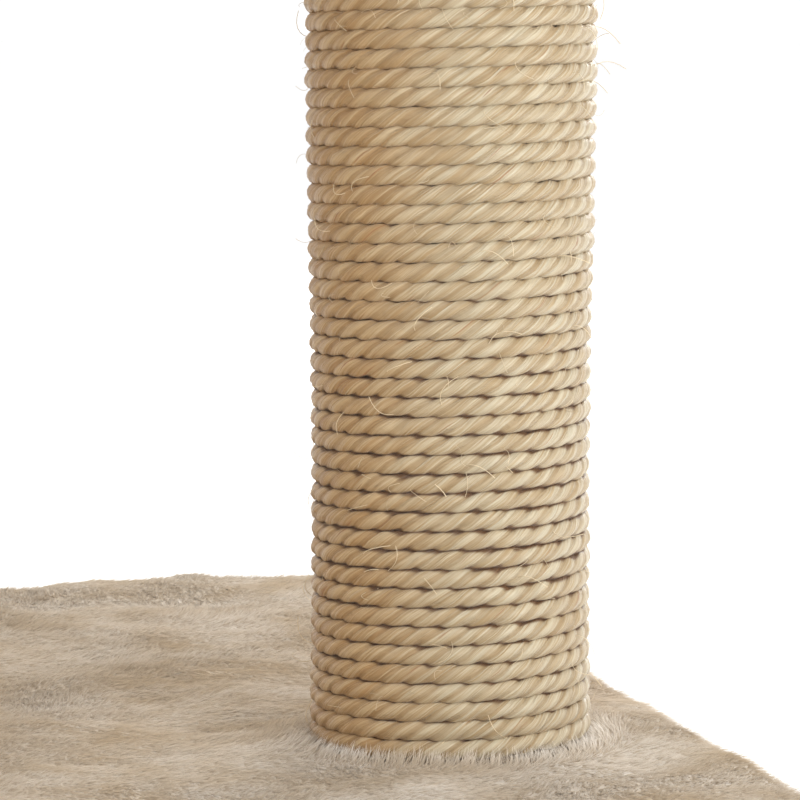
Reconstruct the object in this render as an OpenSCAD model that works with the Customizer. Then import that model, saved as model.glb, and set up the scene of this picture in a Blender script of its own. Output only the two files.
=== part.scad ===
// Cat tree: a plush-covered base, a condo on its left and a sisal post on its right,
// a platform across both, and two more sisal posts that carry a padded perch.
// Millimetres. +Z is up, +X is to the right and -Y is the front, where the door is.
// The origin is at the middle of the footprint, on the floor under the feet.

/* [Base] */
// Width of the base board, side to side
base_w = 600; // [540:10:720]
// Depth of the base board, front to back
base_d = 500; // [420:10:600]
// Thickness of the base board
base_t = 15; // [12:1:25]
// Corner radius of the base board
base_r = 25; // [15:1:40]
// Height of a foot
foot_h = 4; // [3:0.5:8]
// Diameter of a foot
foot_d = 36; // [24:1:44]

/* [Plush] */
// Thickness of the plush, backing and pile together
plush_t = 5; // [3:0.5:8]
// Thickness of the cloth where its pile is pressed flat or left off
cloth_t = 1.5; // [1:0.1:2.5]
// Width of the hem that is turned under the base board
hem_w = 30; // [22:1:45]
// Staples along a long side of the hem
staples_long = 9; // [5:1:12]
// Staples along a short side of the hem
staples_short = 7; // [4:1:10]

/* [Posts] */
// Outside diameter of a cardboard tube
tube_d = 72; // [60:1:86]
// Wall of a cardboard tube
tube_wall = 4; // [2.5:0.5:6]
// Diameter of the sisal rope
rope_d = 6; // [4:0.5:8]
// Length of the lower post, which is the height of the condo too
lower_len = 320; // [260:5:400]
// Length of an upper post
upper_len = 400; // [300:5:500]
// Thickness of the wooden plug in each end of a tube
plug_t = 20; // [16:1:30]
// From the right edge of the base board to the axis of the lower post
post_inset = 72; // [55:1:90]
// From the middle of the base forward to the axis of the lower post
post_forward = 70; // [0:1:80]
// Between the axes of the two upper posts
upper_gap = 260; // [220:5:280]
// From the middle of the base back to the axes of the upper posts
upper_back = 40; // [0:1:60]

/* [Condo] */
// Width of the condo over its boards
condo_w = 290; // [250:5:340]
// From the platform board's front and back edges in to the condo's boards
condo_recess = 20; // [10:1:40]
// Thickness of a condo wall
wall_t = 12; // [9:1:18]
// From the left edge of the base board to the condo's left wall
condo_inset = 25; // [15:1:40]
// Diameter of the door hole in the front wall
door_d = 170; // [140:5:190]
// Height of the middle of the door over the foot of the wall
door_h = 150; // [120:5:160]
// Thickness of the plush lining
lining_t = 4; // [2:0.5:6]
// Radius of the bead around the door
bead_r = 6; // [4:0.5:8]

/* [Platform] */
// From the base board's sides in to the platform board's sides
platform_in_x = 15; // [10:1:20]
// From the base board's front and back in to the platform board's
platform_in_y = 65; // [40:1:75]
// Thickness of the platform board
platform_t = 15; // [12:1:22]
// Corner radius of the platform board
platform_r = 25; // [15:1:40]

/* [Perch] */
// Depth of the perch board
perch_d = 300; // [250:5:360]
// Thickness of the perch board
perch_t = 15; // [12:1:22]
// Diameter of the padded rim around the perch
rim_d = 56; // [40:1:62]
// Radius of the rim's middle line at its corners
rim_r = 60; // [45:1:75]
// How far the rim is pressed flat on the perch
rim_sink = 5; // [2:0.5:8]
// Between the rim and the washers on the perch
rim_clear = 7; // [3:1:20]

/* [Fasteners] */
// Diameter of a bolt's shank
bolt_d = 8; // [6:1:10]
// Diameter of a bolt's head
bolt_head_d = 14; // [12:1:16]
// Height of a bolt's head
bolt_head_h = 4; // [3:0.5:6]
// Width across the flats of the socket in a bolt's head
socket_w = 5; // [4:1:6]
// Diameter of a washer
washer_d = 24; // [18:1:30]
// Thickness of a washer
washer_t = 1.5; // [1:0.1:2.5]
// Diameter of a tee nut's flange
nut_flange_d = 24; // [18:1:30]
// Length of a tee nut's barrel
nut_len = 12; // [8:1:15]
// Diameter of a wood screw
screw_d = 4; // [3:0.5:5]
// Depth to which a wood screw enters the edge of a wall
screw_grip = 24; // [15:1:35]

/* [Hidden] */
$fn = 96;
SISAL = [0.80, 0.70, 0.52];
PLUSH = [0.86, 0.79, 0.69];
LINING = [0.82, 0.75, 0.65];
BOARD = [0.74, 0.61, 0.45];
CARDBOARD = [0.62, 0.50, 0.36];
WOOD = [0.83, 0.70, 0.52];
STEEL = [0.70, 0.71, 0.73];
RUBBER = [0.22, 0.21, 0.20];

fit_gap = 0.1;                                // clearance of a shank in its hole
over = 1;                                     // how far a cut runs past a face
groove_share = 0.2;                           // depth of a groove between two turns, by the rope
post_d = tube_d + 2 * rope_d;
tube_in = tube_d - 2 * tube_wall;
nut_barrel_d = bolt_d + 2.5;
nut_flange_t = 1.5;
washer_hole = bolt_d + 0.6;
head_depth = washer_t + bolt_head_h + 0.5;    // counterbore under the base
socket_depth = bolt_head_h * 0.6;
thread_reach = plug_t - 2;                    // how far a bolt enters a plug
turn_flat = [0.25, 0.75];                     // the flat of a turn of rope, by the pitch
foot_clear = 5;                               // between the hem and a foot
hem_share = 0.6;                              // place of the staples over the hem
side_share = 0.2;                             // place of the screws over a side wall's length
end_share = 0.25;                             // and over a front or back wall's length
corner_count = 3;                             // screws up each corner of the condo

// Heights, from the floor up
base_z = foot_h;
base_top = base_z + base_t;
seat_z = base_top + cloth_t;                  // foot of the lower post and the walls
level_z = seat_z + lower_len;                 // top of the lower post and the walls
platform_z = level_z + cloth_t;
platform_top = platform_z + platform_t;
upper_z = platform_top + cloth_t;             // foot of the upper posts
perch_z = upper_z + upper_len + cloth_t;
perch_top = perch_z + perch_t;
rim_z = perch_top + plush_t + rim_d / 2 - rim_sink;

// Sizes that follow from others
platform_w = base_w - 2 * platform_in_x;
platform_d = base_d - 2 * platform_in_y;
condo_d = platform_d - 2 * condo_recess;
perch_w = upper_gap + washer_d + 2 * (rim_clear + rim_d - plush_t);
perch_r = rim_r + rim_d / 2 - plush_t;
base_bolt_seat = base_z + head_depth;         // bearing face of the washer under the base
base_bolt_len = base_top - base_bolt_seat + cloth_t + thread_reach;
platform_bolt_len = platform_t + cloth_t + thread_reach;
perch_bolt_len = perch_t + cloth_t + thread_reach;

// Places in plan
lower_at = [base_w / 2 - post_inset, -post_forward];
upper_at = [for (side = [-1, 1]) [side * upper_gap / 2, upper_back]];
condo_x = -base_w / 2 + condo_inset + condo_w / 2;
door_z = seat_z + door_h;
foot_in = hem_w + foot_d / 2 + foot_clear;
feet_at = [for (x = [-1, 0, 1], y = [-1, 1]) [x * (base_w / 2 - foot_in), y * (base_d / 2 - foot_in)]];

// Where screws go into the walls: two along each wall's edge, as [x, y] from the condo's middle
wall_mid_x = (condo_w - wall_t) / 2;
wall_mid_y = (condo_d - wall_t) / 2;
edge_screws = concat(
    [for (x = [-1, 1], y = [-1, 1]) [x * wall_mid_x, y * condo_d * side_share]],
    [for (x = [-1, 1], y = [-1, 1]) [x * condo_w * end_share, y * wall_mid_y]]
);
corner_heights = [for (k = [1:corner_count]) (k - 0.5) * lower_len / corner_count];

// Staples of the hem, as [x, y, turn]
staple_w = 12;
staple_wire = 1.2;
staple_leg = 8;
staple_x = base_w / 2 - hem_w * hem_share;
staple_y = base_d / 2 - hem_w * hem_share;
long_step = 2 * (staple_x - base_r) / (staples_long - 1);
short_step = 2 * (staple_y - base_r) / (staples_short - 1);
staples_at = concat(
    [for (s = [-1, 1], k = [0:staples_long - 1]) [base_r - staple_x + k * long_step, s * staple_y, 0]],
    [for (s = [-1, 1], k = [0:staples_short - 1]) [s * staple_x, base_r - staple_y + k * short_step, 90]]
);

// ---- Shared shapes ----

// A rectangle with round corners
module plate(w, d, r) {
    square([w - 2 * r, d], center = true);
    square([w, d - 2 * r], center = true);
    for (x = [-1, 1], y = [-1, 1])
        translate([x * (w / 2 - r), y * (d / 2 - r)])
            circle(r);
}

module slab(w, d, r, z, h) {
    translate([0, 0, z])
        linear_extrude(h)
            plate(w, d, r);
}

module rod(d, z, h) {
    translate([0, 0, z])
        cylinder(d = d, h = h);
}

// A button-head bolt with a hex socket: its head's seat is at z = 0 and its shank runs up
module bolt(shank) {
    difference() {
        union() {
            rod(bolt_head_d, -bolt_head_h, bolt_head_h);
            rod(bolt_d, 0, shank);
        }
        translate([0, 0, -bolt_head_h - over])
            cylinder(d = socket_w / cos(30), h = socket_depth + over, $fn = 6);
    }
}

// A washer whose upper face is at z = 0
module washer() {
    difference() {
        rod(washer_d, -washer_t, washer_t);
        rod(washer_hole, -washer_t - over, washer_t + 2 * over);
    }
}

// A countersunk wood screw: its head's flat is at z = 0 and it runs up
module screw(len) {
    cylinder(d1 = 2 * screw_d, d2 = screw_d, h = screw_d / 2);
    rod(screw_d, 0, len - screw_d);
    translate([0, 0, len - screw_d])
        cylinder(d1 = screw_d, d2 = screw_d / 4, h = screw_d);
}

// ---- A post's own pieces, standing on z = 0 ----

module post_tube(len) {
    color(CARDBOARD)
        difference() {
            rod(tube_d, 0, len);
            rod(tube_in, -over, len + 2 * over);
        }
}

module post_plugs(len) {
    color(WOOD)
        for (z = [0, len - plug_t])
            difference() {
                rod(tube_in, z, plug_t);
                rod(nut_barrel_d, z - over, plug_t + 2 * over);
            }
}

// A tee nut in each plug, with its flange on the plug's inner face
module post_nuts(len) {
    color(STEEL)
        for (end = [0, 1])
            translate([0, 0, end * len])
                mirror([0, 0, end])
                    difference() {
                        union() {
                            rod(nut_barrel_d, plug_t - nut_len, nut_len);
                            rod(nut_flange_d, plug_t, nut_flange_t);
                        }
                        rod(bolt_d + 2 * fit_gap, plug_t - nut_len - over, nut_len + nut_flange_t + 2 * over);
                    }
}

// The winding: a sleeve with a groove between each turn of rope and the next
module post_sisal(len) {
    turns = round(len / rope_d);
    pitch = len / turns;
    groove = rope_d * groove_share;
    color(SISAL)
        rotate_extrude()
            polygon(concat(
                [[tube_d / 2, len], [tube_d / 2, 0]],
                [for (k = [0:turns - 1], p = [[groove, 0], [0, turn_flat[0]], [0, turn_flat[1]]])
                    [post_d / 2 - p[0], (k + p[1]) * pitch]],
                [[post_d / 2 - groove, len]]
            ));
}

// ---- Bolts and washers ----

// Places a thing that points up at the foot of a post, or one that points down at its top
module at_foot(at, z) {
    translate([at[0], at[1], z])
        children();
}

module at_head(at, z) {
    translate([at[0], at[1], z])
        mirror([0, 0, 1])
            children();
}

// The space that a bolt needs in a board and its cloth, up from the washer's bearing face
module bolt_space(len) {
    rod(bolt_d + 2 * fit_gap, -over, len);
}

// The space that a washer and a head need, down from the washer's bearing face
module washer_space(h) {
    rod(washer_d + 1, -h, h);
}

// ---- Base ----

module screw_spaces(z, turned) {
    for (at = edge_screws)
        translate([condo_x + at[0], at[1], z])
            mirror([0, 0, turned])
                children();
}

module base_board() {
    color(BOARD)
        difference() {
            slab(base_w, base_d, base_r, base_z, base_t);
            at_foot(lower_at, base_bolt_seat) {
                bolt_space(base_t);
                washer_space(head_depth + over);
            }
            screw_spaces(base_z, 0)
                screw(base_t + screw_grip);
            staple_legs(0);
        }
}

// The plush over the top and sides, with its hem under the board. The pile is pressed flat
// under the post and under the walls.
module base_cover() {
    cover_w = base_w + 2 * plush_t;
    cover_d = base_d + 2 * plush_t;
    cover_r = base_r + plush_t;
    color(PLUSH)
        difference() {
            slab(cover_w, cover_d, cover_r, base_z - cloth_t, base_t + cloth_t + plush_t);
            slab(base_w, base_d, base_r, base_z, base_t);
            slab(base_w - 2 * hem_w, base_d - 2 * hem_w, base_r, base_z - cloth_t - over, cloth_t + 2 * over);
            at_foot(lower_at, seat_z)
                rod(post_d, 0, plush_t);
            at_foot(lower_at, base_bolt_seat)
                bolt_space(base_t);
            translate([condo_x, 0, seat_z])
                linear_extrude(plush_t)
                    condo_ring(plush_t, wall_t + lining_t);
            screw_spaces(base_z, 0) {
                rod(2 * screw_d, -cloth_t - over, cloth_t + over);
                rod(screw_d, 0, base_t + screw_grip);
            }
            staple_legs(0);
        }
}

module staple_legs(grow) {
    for (at = staples_at)
        translate([at[0], at[1], base_z - cloth_t])
            rotate(at[2])
                for (side = [-1, 1])
                    translate([side * (staple_w - staple_wire) / 2, 0, staple_leg / 2 - grow / 2])
                        cube([staple_wire, staple_wire, staple_leg + grow], center = true);
}

module base_staples() {
    color(STEEL) {
        staple_legs(staple_wire);
        for (at = staples_at)
            translate([at[0], at[1], base_z - cloth_t - staple_wire / 2])
                rotate(at[2])
                    cube([staple_w, staple_wire, staple_wire], center = true);
    }
}

module base_feet() {
    color(RUBBER)
        for (at = feet_at)
            at_foot(at, 0)
                rod(foot_d, 0, foot_h);
}

// ---- Lower post ----

module lower_post_tube() {
    at_foot(lower_at, seat_z)
        post_tube(lower_len);
}

module lower_post_plugs() {
    at_foot(lower_at, seat_z)
        post_plugs(lower_len);
}

module lower_post_nuts() {
    at_foot(lower_at, seat_z)
        post_nuts(lower_len);
}

module lower_post_sisal() {
    at_foot(lower_at, seat_z)
        post_sisal(lower_len);
}

// One bolt from under the base and one from over the platform
module lower_post_bolts() {
    color(STEEL) {
        at_foot(lower_at, base_bolt_seat - washer_t)
            bolt(base_bolt_len + washer_t);
        at_head(lower_at, platform_top + washer_t)
            bolt(platform_bolt_len + washer_t);
    }
}

module lower_post_washers() {
    color(STEEL) {
        at_foot(lower_at, base_bolt_seat)
            washer();
        at_head(lower_at, platform_top)
            washer();
    }
}

// ---- Condo ----

// The ring in plan between the boards' outline moved out by grow and moved in by shrink.
// An outline that is moved out has round corners.
module condo_ring(grow, shrink) {
    difference() {
        if (grow > 0)
            plate(condo_w + 2 * grow, condo_d + 2 * grow, grow);
        else
            square([condo_w + 2 * grow, condo_d + 2 * grow], center = true);
        square([condo_w - 2 * shrink, condo_d - 2 * shrink], center = true);
    }
}

module in_condo() {
    translate([condo_x, 0, seat_z])
        children();
}

// A round hole through everything at the front, on the door's axis
module door_hole(d) {
    translate([0, -condo_d / 2, door_h])
        rotate([90, 0, 0])
            cylinder(d = d, h = 4 * wall_t, center = true);
}

// Corner screws: three in each corner, from the front and the back into the side walls
module corner_screws() {
    for (face = [0, 1], side = [-1, 1], z = corner_heights)
        mirror([0, face, 0])
            translate([side * wall_mid_x, -condo_d / 2, z])
                rotate([-90, 0, 0])
                    screw(wall_t + screw_grip);
}

module face_wall() {
    translate([-condo_w / 2, -condo_d / 2, 0])
        cube([condo_w, wall_t, lower_len]);
}

module side_wall() {
    translate([-condo_w / 2, -condo_d / 2 + wall_t, 0])
        cube([wall_t, condo_d - 2 * wall_t, lower_len]);
}

// Every screw that enters a wall, seen from inside the condo's own place
module wall_screws() {
    corner_screws();
    for (at = edge_screws) {
        translate([at[0], at[1], -base_t - cloth_t])
            screw(base_t + cloth_t + screw_grip);
        translate([at[0], at[1], lower_len + cloth_t + platform_t])
            mirror([0, 0, 1])
                screw(platform_t + cloth_t + screw_grip);
    }
}

module condo_front() {
    color(BOARD)
        in_condo()
            difference() {
                face_wall();
                door_hole(door_d);
                wall_screws();
            }
}

module condo_back() {
    color(BOARD)
        in_condo()
            difference() {
                mirror([0, 1, 0])
                    face_wall();
                wall_screws();
            }
}

module condo_left() {
    color(BOARD)
        in_condo()
            difference() {
                side_wall();
                wall_screws();
            }
}

module condo_right() {
    color(BOARD)
        in_condo()
            difference() {
                mirror([1, 0, 0])
                    side_wall();
                wall_screws();
            }
}

module condo_cover() {
    color(PLUSH)
        in_condo()
            difference() {
                linear_extrude(lower_len)
                    condo_ring(plush_t, 0);
                door_hole(door_d);
            }
}

module condo_lining() {
    color(LINING)
        in_condo()
            difference() {
                linear_extrude(lower_len)
                    condo_ring(-wall_t, wall_t + lining_t);
                door_hole(door_d);
            }
}

// A sleeve through the door hole with a half-round bead on each face
module condo_door_trim() {
    depth = plush_t + wall_t + lining_t;
    sleeve = bead_r / 2;
    color(PLUSH)
        in_condo()
            translate([0, -condo_d / 2 - plush_t, door_h])
                rotate([-90, 0, 0])
                    rotate_extrude() {
                        translate([door_d / 2 - sleeve, 0])
                            square([sleeve, depth]);
                        for (end = [0, 1])
                            translate([door_d / 2, end * depth])
                                intersection() {
                                    circle(bead_r, $fn = 48);
                                    translate([-bead_r, (end - 1) * bead_r])
                                        square([2 * bead_r, bead_r]);
                                }
                    }
}

module condo_corner_screws() {
    color(STEEL)
        in_condo()
            corner_screws();
}

module condo_base_screws() {
    color(STEEL)
        screw_spaces(base_z, 0)
            screw(base_t + cloth_t + screw_grip);
}

module condo_top_screws() {
    color(STEEL)
        screw_spaces(platform_top, 1)
            screw(platform_t + cloth_t + screw_grip);
}

// ---- Platform ----

// The holes that the platform and its cover share
module platform_holes() {
    at_head(lower_at, platform_top)
        bolt_space(platform_t + 2 * plush_t);
    for (at = upper_at)
        at_foot(at, platform_z)
            bolt_space(platform_t + 2 * plush_t);
    screw_spaces(platform_top, 1)
        screw(platform_t + cloth_t + screw_grip);
}

module platform_board() {
    color(BOARD)
        difference() {
            slab(platform_w, platform_d, platform_r, platform_z, platform_t);
            platform_holes();
        }
}

// Plush over the top and sides, and plain cloth underneath
module platform_cover() {
    color(PLUSH)
        difference() {
            slab(platform_w + 2 * plush_t, platform_d + 2 * plush_t, platform_r + plush_t,
                level_z, cloth_t + platform_t + plush_t);
            slab(platform_w, platform_d, platform_r, platform_z, platform_t);
            platform_holes();
            at_head(lower_at, platform_top)
                washer_space(plush_t + over);
            for (at = upper_at) {
                at_foot(at, platform_z)
                    washer_space(cloth_t + over);
                at_foot(at, upper_z)
                    rod(post_d, 0, plush_t);
            }
        }
}

// ---- Upper posts ----

module left_post_tube() {
    at_foot(upper_at[0], upper_z)
        post_tube(upper_len);
}

module left_post_plugs() {
    at_foot(upper_at[0], upper_z)
        post_plugs(upper_len);
}

module left_post_nuts() {
    at_foot(upper_at[0], upper_z)
        post_nuts(upper_len);
}

module left_post_sisal() {
    at_foot(upper_at[0], upper_z)
        post_sisal(upper_len);
}

module right_post_tube() {
    at_foot(upper_at[1], upper_z)
        post_tube(upper_len);
}

module right_post_plugs() {
    at_foot(upper_at[1], upper_z)
        post_plugs(upper_len);
}

module right_post_nuts() {
    at_foot(upper_at[1], upper_z)
        post_nuts(upper_len);
}

module right_post_sisal() {
    at_foot(upper_at[1], upper_z)
        post_sisal(upper_len);
}

// For each upper post, one bolt from under the platform and one from over the perch
module upper_post_bolts() {
    color(STEEL)
        for (at = upper_at) {
            at_foot(at, platform_z - washer_t)
                bolt(platform_bolt_len + washer_t);
            at_head(at, perch_top + washer_t)
                bolt(perch_bolt_len + washer_t);
        }
}

module upper_post_washers() {
    color(STEEL)
        for (at = upper_at) {
            at_foot(at, platform_z)
                washer();
            at_head(at, perch_top)
                washer();
        }
}

// ---- Perch ----

module perch_place() {
    translate([0, upper_back, 0])
        children();
}

module perch_board() {
    color(BOARD)
        difference() {
            perch_place()
                slab(perch_w, perch_d, perch_r, perch_z, perch_t);
            for (at = upper_at)
                at_head(at, perch_top)
                    bolt_space(perch_t + 2 * over);
        }
}

module perch_cover() {
    color(PLUSH)
        difference() {
            perch_place()
                slab(perch_w + 2 * plush_t, perch_d + 2 * plush_t, perch_r + plush_t,
                    perch_z - cloth_t, cloth_t + perch_t + plush_t);
            perch_place()
                slab(perch_w, perch_d, perch_r, perch_z, perch_t);
            for (at = upper_at)
                at_head(at, perch_top) {
                    bolt_space(perch_t + 2 * plush_t);
                    washer_space(plush_t + over);
                }
        }
}

// A padded roll all round the edge, pressed flat where it lies on the perch
module perch_rim() {
    run_w = perch_w + 2 * plush_t - rim_d;
    run_d = perch_d + 2 * plush_t - rim_d;
    straight_w = run_w - 2 * rim_r;
    straight_d = run_d - 2 * rim_r;
    color(PLUSH)
        difference() {
            perch_place()
                translate([0, 0, rim_z]) {
                    for (side = [-1, 1]) {
                        translate([0, side * run_d / 2, 0])
                            rotate([0, 90, 0])
                                cylinder(d = rim_d, h = straight_w, center = true);
                        translate([side * run_w / 2, 0, 0])
                            rotate([90, 0, 0])
                                cylinder(d = rim_d, h = straight_d, center = true);
                    }
                    for (corner = [[1, 1, 0], [-1, 1, 90], [-1, -1, 180], [1, -1, 270]])
                        translate([corner[0] * straight_w / 2, corner[1] * straight_d / 2, 0])
                            rotate(corner[2])
                                rotate_extrude(angle = 90)
                                    translate([rim_r, 0])
                                        circle(d = rim_d);
                }
            slab(2 * perch_w, 2 * perch_d + 4 * upper_back, perch_r, perch_top, plush_t);
        }
}

base_board();
base_cover();
base_staples();
base_feet();
lower_post_tube();
lower_post_plugs();
lower_post_nuts();
lower_post_sisal();
lower_post_bolts();
lower_post_washers();
condo_front();
condo_back();
condo_left();
condo_right();
condo_cover();
condo_lining();
condo_door_trim();
condo_corner_screws();
condo_base_screws();
condo_top_screws();
platform_board();
platform_cover();
left_post_tube();
left_post_plugs();
left_post_nuts();
left_post_sisal();
right_post_tube();
right_post_plugs();
right_post_nuts();
right_post_sisal();
upper_post_bolts();
upper_post_washers();
perch_board();
perch_cover();
perch_rim();
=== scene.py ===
"""Looks of a plush-and-sisal cat tree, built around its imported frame.

Lengths are in metres. +Z is up, +X is the tree's right and -Y is its front.
"""

import logging
import math
from collections.abc import Callable
from dataclasses import dataclass, field, replace
from enum import Enum
from typing import Any

import bmesh
import bpy
import numpy as np
from mathutils import Matrix, Vector

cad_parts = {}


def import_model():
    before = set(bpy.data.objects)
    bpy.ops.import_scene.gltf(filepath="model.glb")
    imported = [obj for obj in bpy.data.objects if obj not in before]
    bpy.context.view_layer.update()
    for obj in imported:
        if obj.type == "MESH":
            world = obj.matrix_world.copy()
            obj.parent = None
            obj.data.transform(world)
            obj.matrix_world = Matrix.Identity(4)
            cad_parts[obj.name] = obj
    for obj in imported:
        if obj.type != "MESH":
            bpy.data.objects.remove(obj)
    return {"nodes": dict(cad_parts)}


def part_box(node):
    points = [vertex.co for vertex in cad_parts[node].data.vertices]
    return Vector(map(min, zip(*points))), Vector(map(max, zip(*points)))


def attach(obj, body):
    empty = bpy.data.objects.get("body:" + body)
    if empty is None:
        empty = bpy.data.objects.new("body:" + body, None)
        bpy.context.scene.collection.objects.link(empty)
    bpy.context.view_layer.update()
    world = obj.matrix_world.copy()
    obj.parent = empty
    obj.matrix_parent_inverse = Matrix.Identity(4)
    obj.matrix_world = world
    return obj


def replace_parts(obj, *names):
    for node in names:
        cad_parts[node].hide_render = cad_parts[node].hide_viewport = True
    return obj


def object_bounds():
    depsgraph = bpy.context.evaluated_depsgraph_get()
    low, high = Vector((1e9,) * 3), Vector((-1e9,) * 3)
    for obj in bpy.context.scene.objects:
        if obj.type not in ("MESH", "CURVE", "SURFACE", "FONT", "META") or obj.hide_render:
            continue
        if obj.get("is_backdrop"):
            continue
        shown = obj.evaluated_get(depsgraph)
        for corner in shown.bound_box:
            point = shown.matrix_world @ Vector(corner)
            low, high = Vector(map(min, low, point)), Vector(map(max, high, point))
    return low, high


LOG = logging.getLogger("cat_tree")
ROOT = "root"
MM = 0.001
FULL_TURN = 2.0 * math.pi
QUARTER = 0.5 * math.pi

# A Pair is a place in plan or a span. An Edge is a point of an outline in plan with its normal. A
# Share says how much of a pile grows at each point. A Patch is an array of points and its quads.
Pair = tuple[float, float]
Triple = tuple[float, float, float]
Colour = Triple
Edge = tuple[float, float, float, float]
Share = Callable[[np.ndarray], np.ndarray]
Patch = tuple[np.ndarray, np.ndarray]


class Slot(Enum):
    """The record's material slots."""

    PLUSH = "plush"
    PADDING = "padding"
    LINING = "lining"
    SISAL = "sisal"
    BOARD = "board"
    PLUG = "plug_wood"
    TUBE = "tube"
    STEEL = "steel"
    FOOT = "foot_pad"


# ---------------------------------------------------------------- node graphs


class Sock:
    """An output socket that takes part in Python arithmetic on values."""

    def __init__(self, graph: "Graph", socket: bpy.types.NodeSocket) -> None:
        """Wraps a socket.

        Args:
            graph: The graph that the socket's node is in.
            socket: The output socket.
        """
        self.graph = graph
        self.socket = socket

    def _math(self, operation: str, *values: "Sock | float") -> "Sock":
        """Adds a Math node of that operation on the values."""
        settings = {"operation": operation}
        return self.graph.add("ShaderNodeMath", settings, dict(enumerate(values)))[0]

    def __add__(self, other: "Sock | float") -> "Sock":
        """self + other."""
        return self._math("ADD", self, other)

    def __radd__(self, other: float) -> "Sock":
        """other + self."""
        return self._math("ADD", other, self)

    def __sub__(self, other: "Sock | float") -> "Sock":
        """self - other."""
        return self._math("SUBTRACT", self, other)

    def __rsub__(self, other: float) -> "Sock":
        """other - self."""
        return self._math("SUBTRACT", other, self)

    def __mul__(self, other: "Sock | float") -> "Sock":
        """self * other."""
        return self._math("MULTIPLY", self, other)

    def __rmul__(self, other: float) -> "Sock":
        """other * self."""
        return self._math("MULTIPLY", other, self)

    def __truediv__(self, other: "Sock | float") -> "Sock":
        """self / other."""
        return self._math("DIVIDE", self, other)

    def __pow__(self, other: "Sock | float") -> "Sock":
        """self to the power of other."""
        return self._math("POWER", self, other)

    def floor(self) -> "Sock":
        """The whole number below the value."""
        return self._math("FLOOR", self)

    def sine(self) -> "Sock":
        """The sine of the angle."""
        return self._math("SINE", self)

    def cosine(self) -> "Sock":
        """The cosine of the angle."""
        return self._math("COSINE", self)

    def above(self, limit: float) -> "Sock":
        """1 above the limit, 0 below it."""
        return self._math("GREATER_THAN", self, limit)

    def step(self, low: float, high: float) -> "Sock":
        """0 below low, 1 above high, and smooth between them."""
        settings = {"interpolation_type": "SMOOTHSTEP"}
        return self.graph.add("ShaderNodeMapRange", settings, {0: self, 1: low, 2: high})[0]


class Part:
    """A node whose outputs are read by name or by number."""

    def __init__(self, graph: "Graph", node: bpy.types.Node) -> None:
        """Wraps a node of that graph."""
        self.graph = graph
        self.node = node

    def __getitem__(self, key: str | int) -> Sock:
        """The output of that name or number."""
        return Sock(self.graph, self.node.outputs[key])


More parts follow.
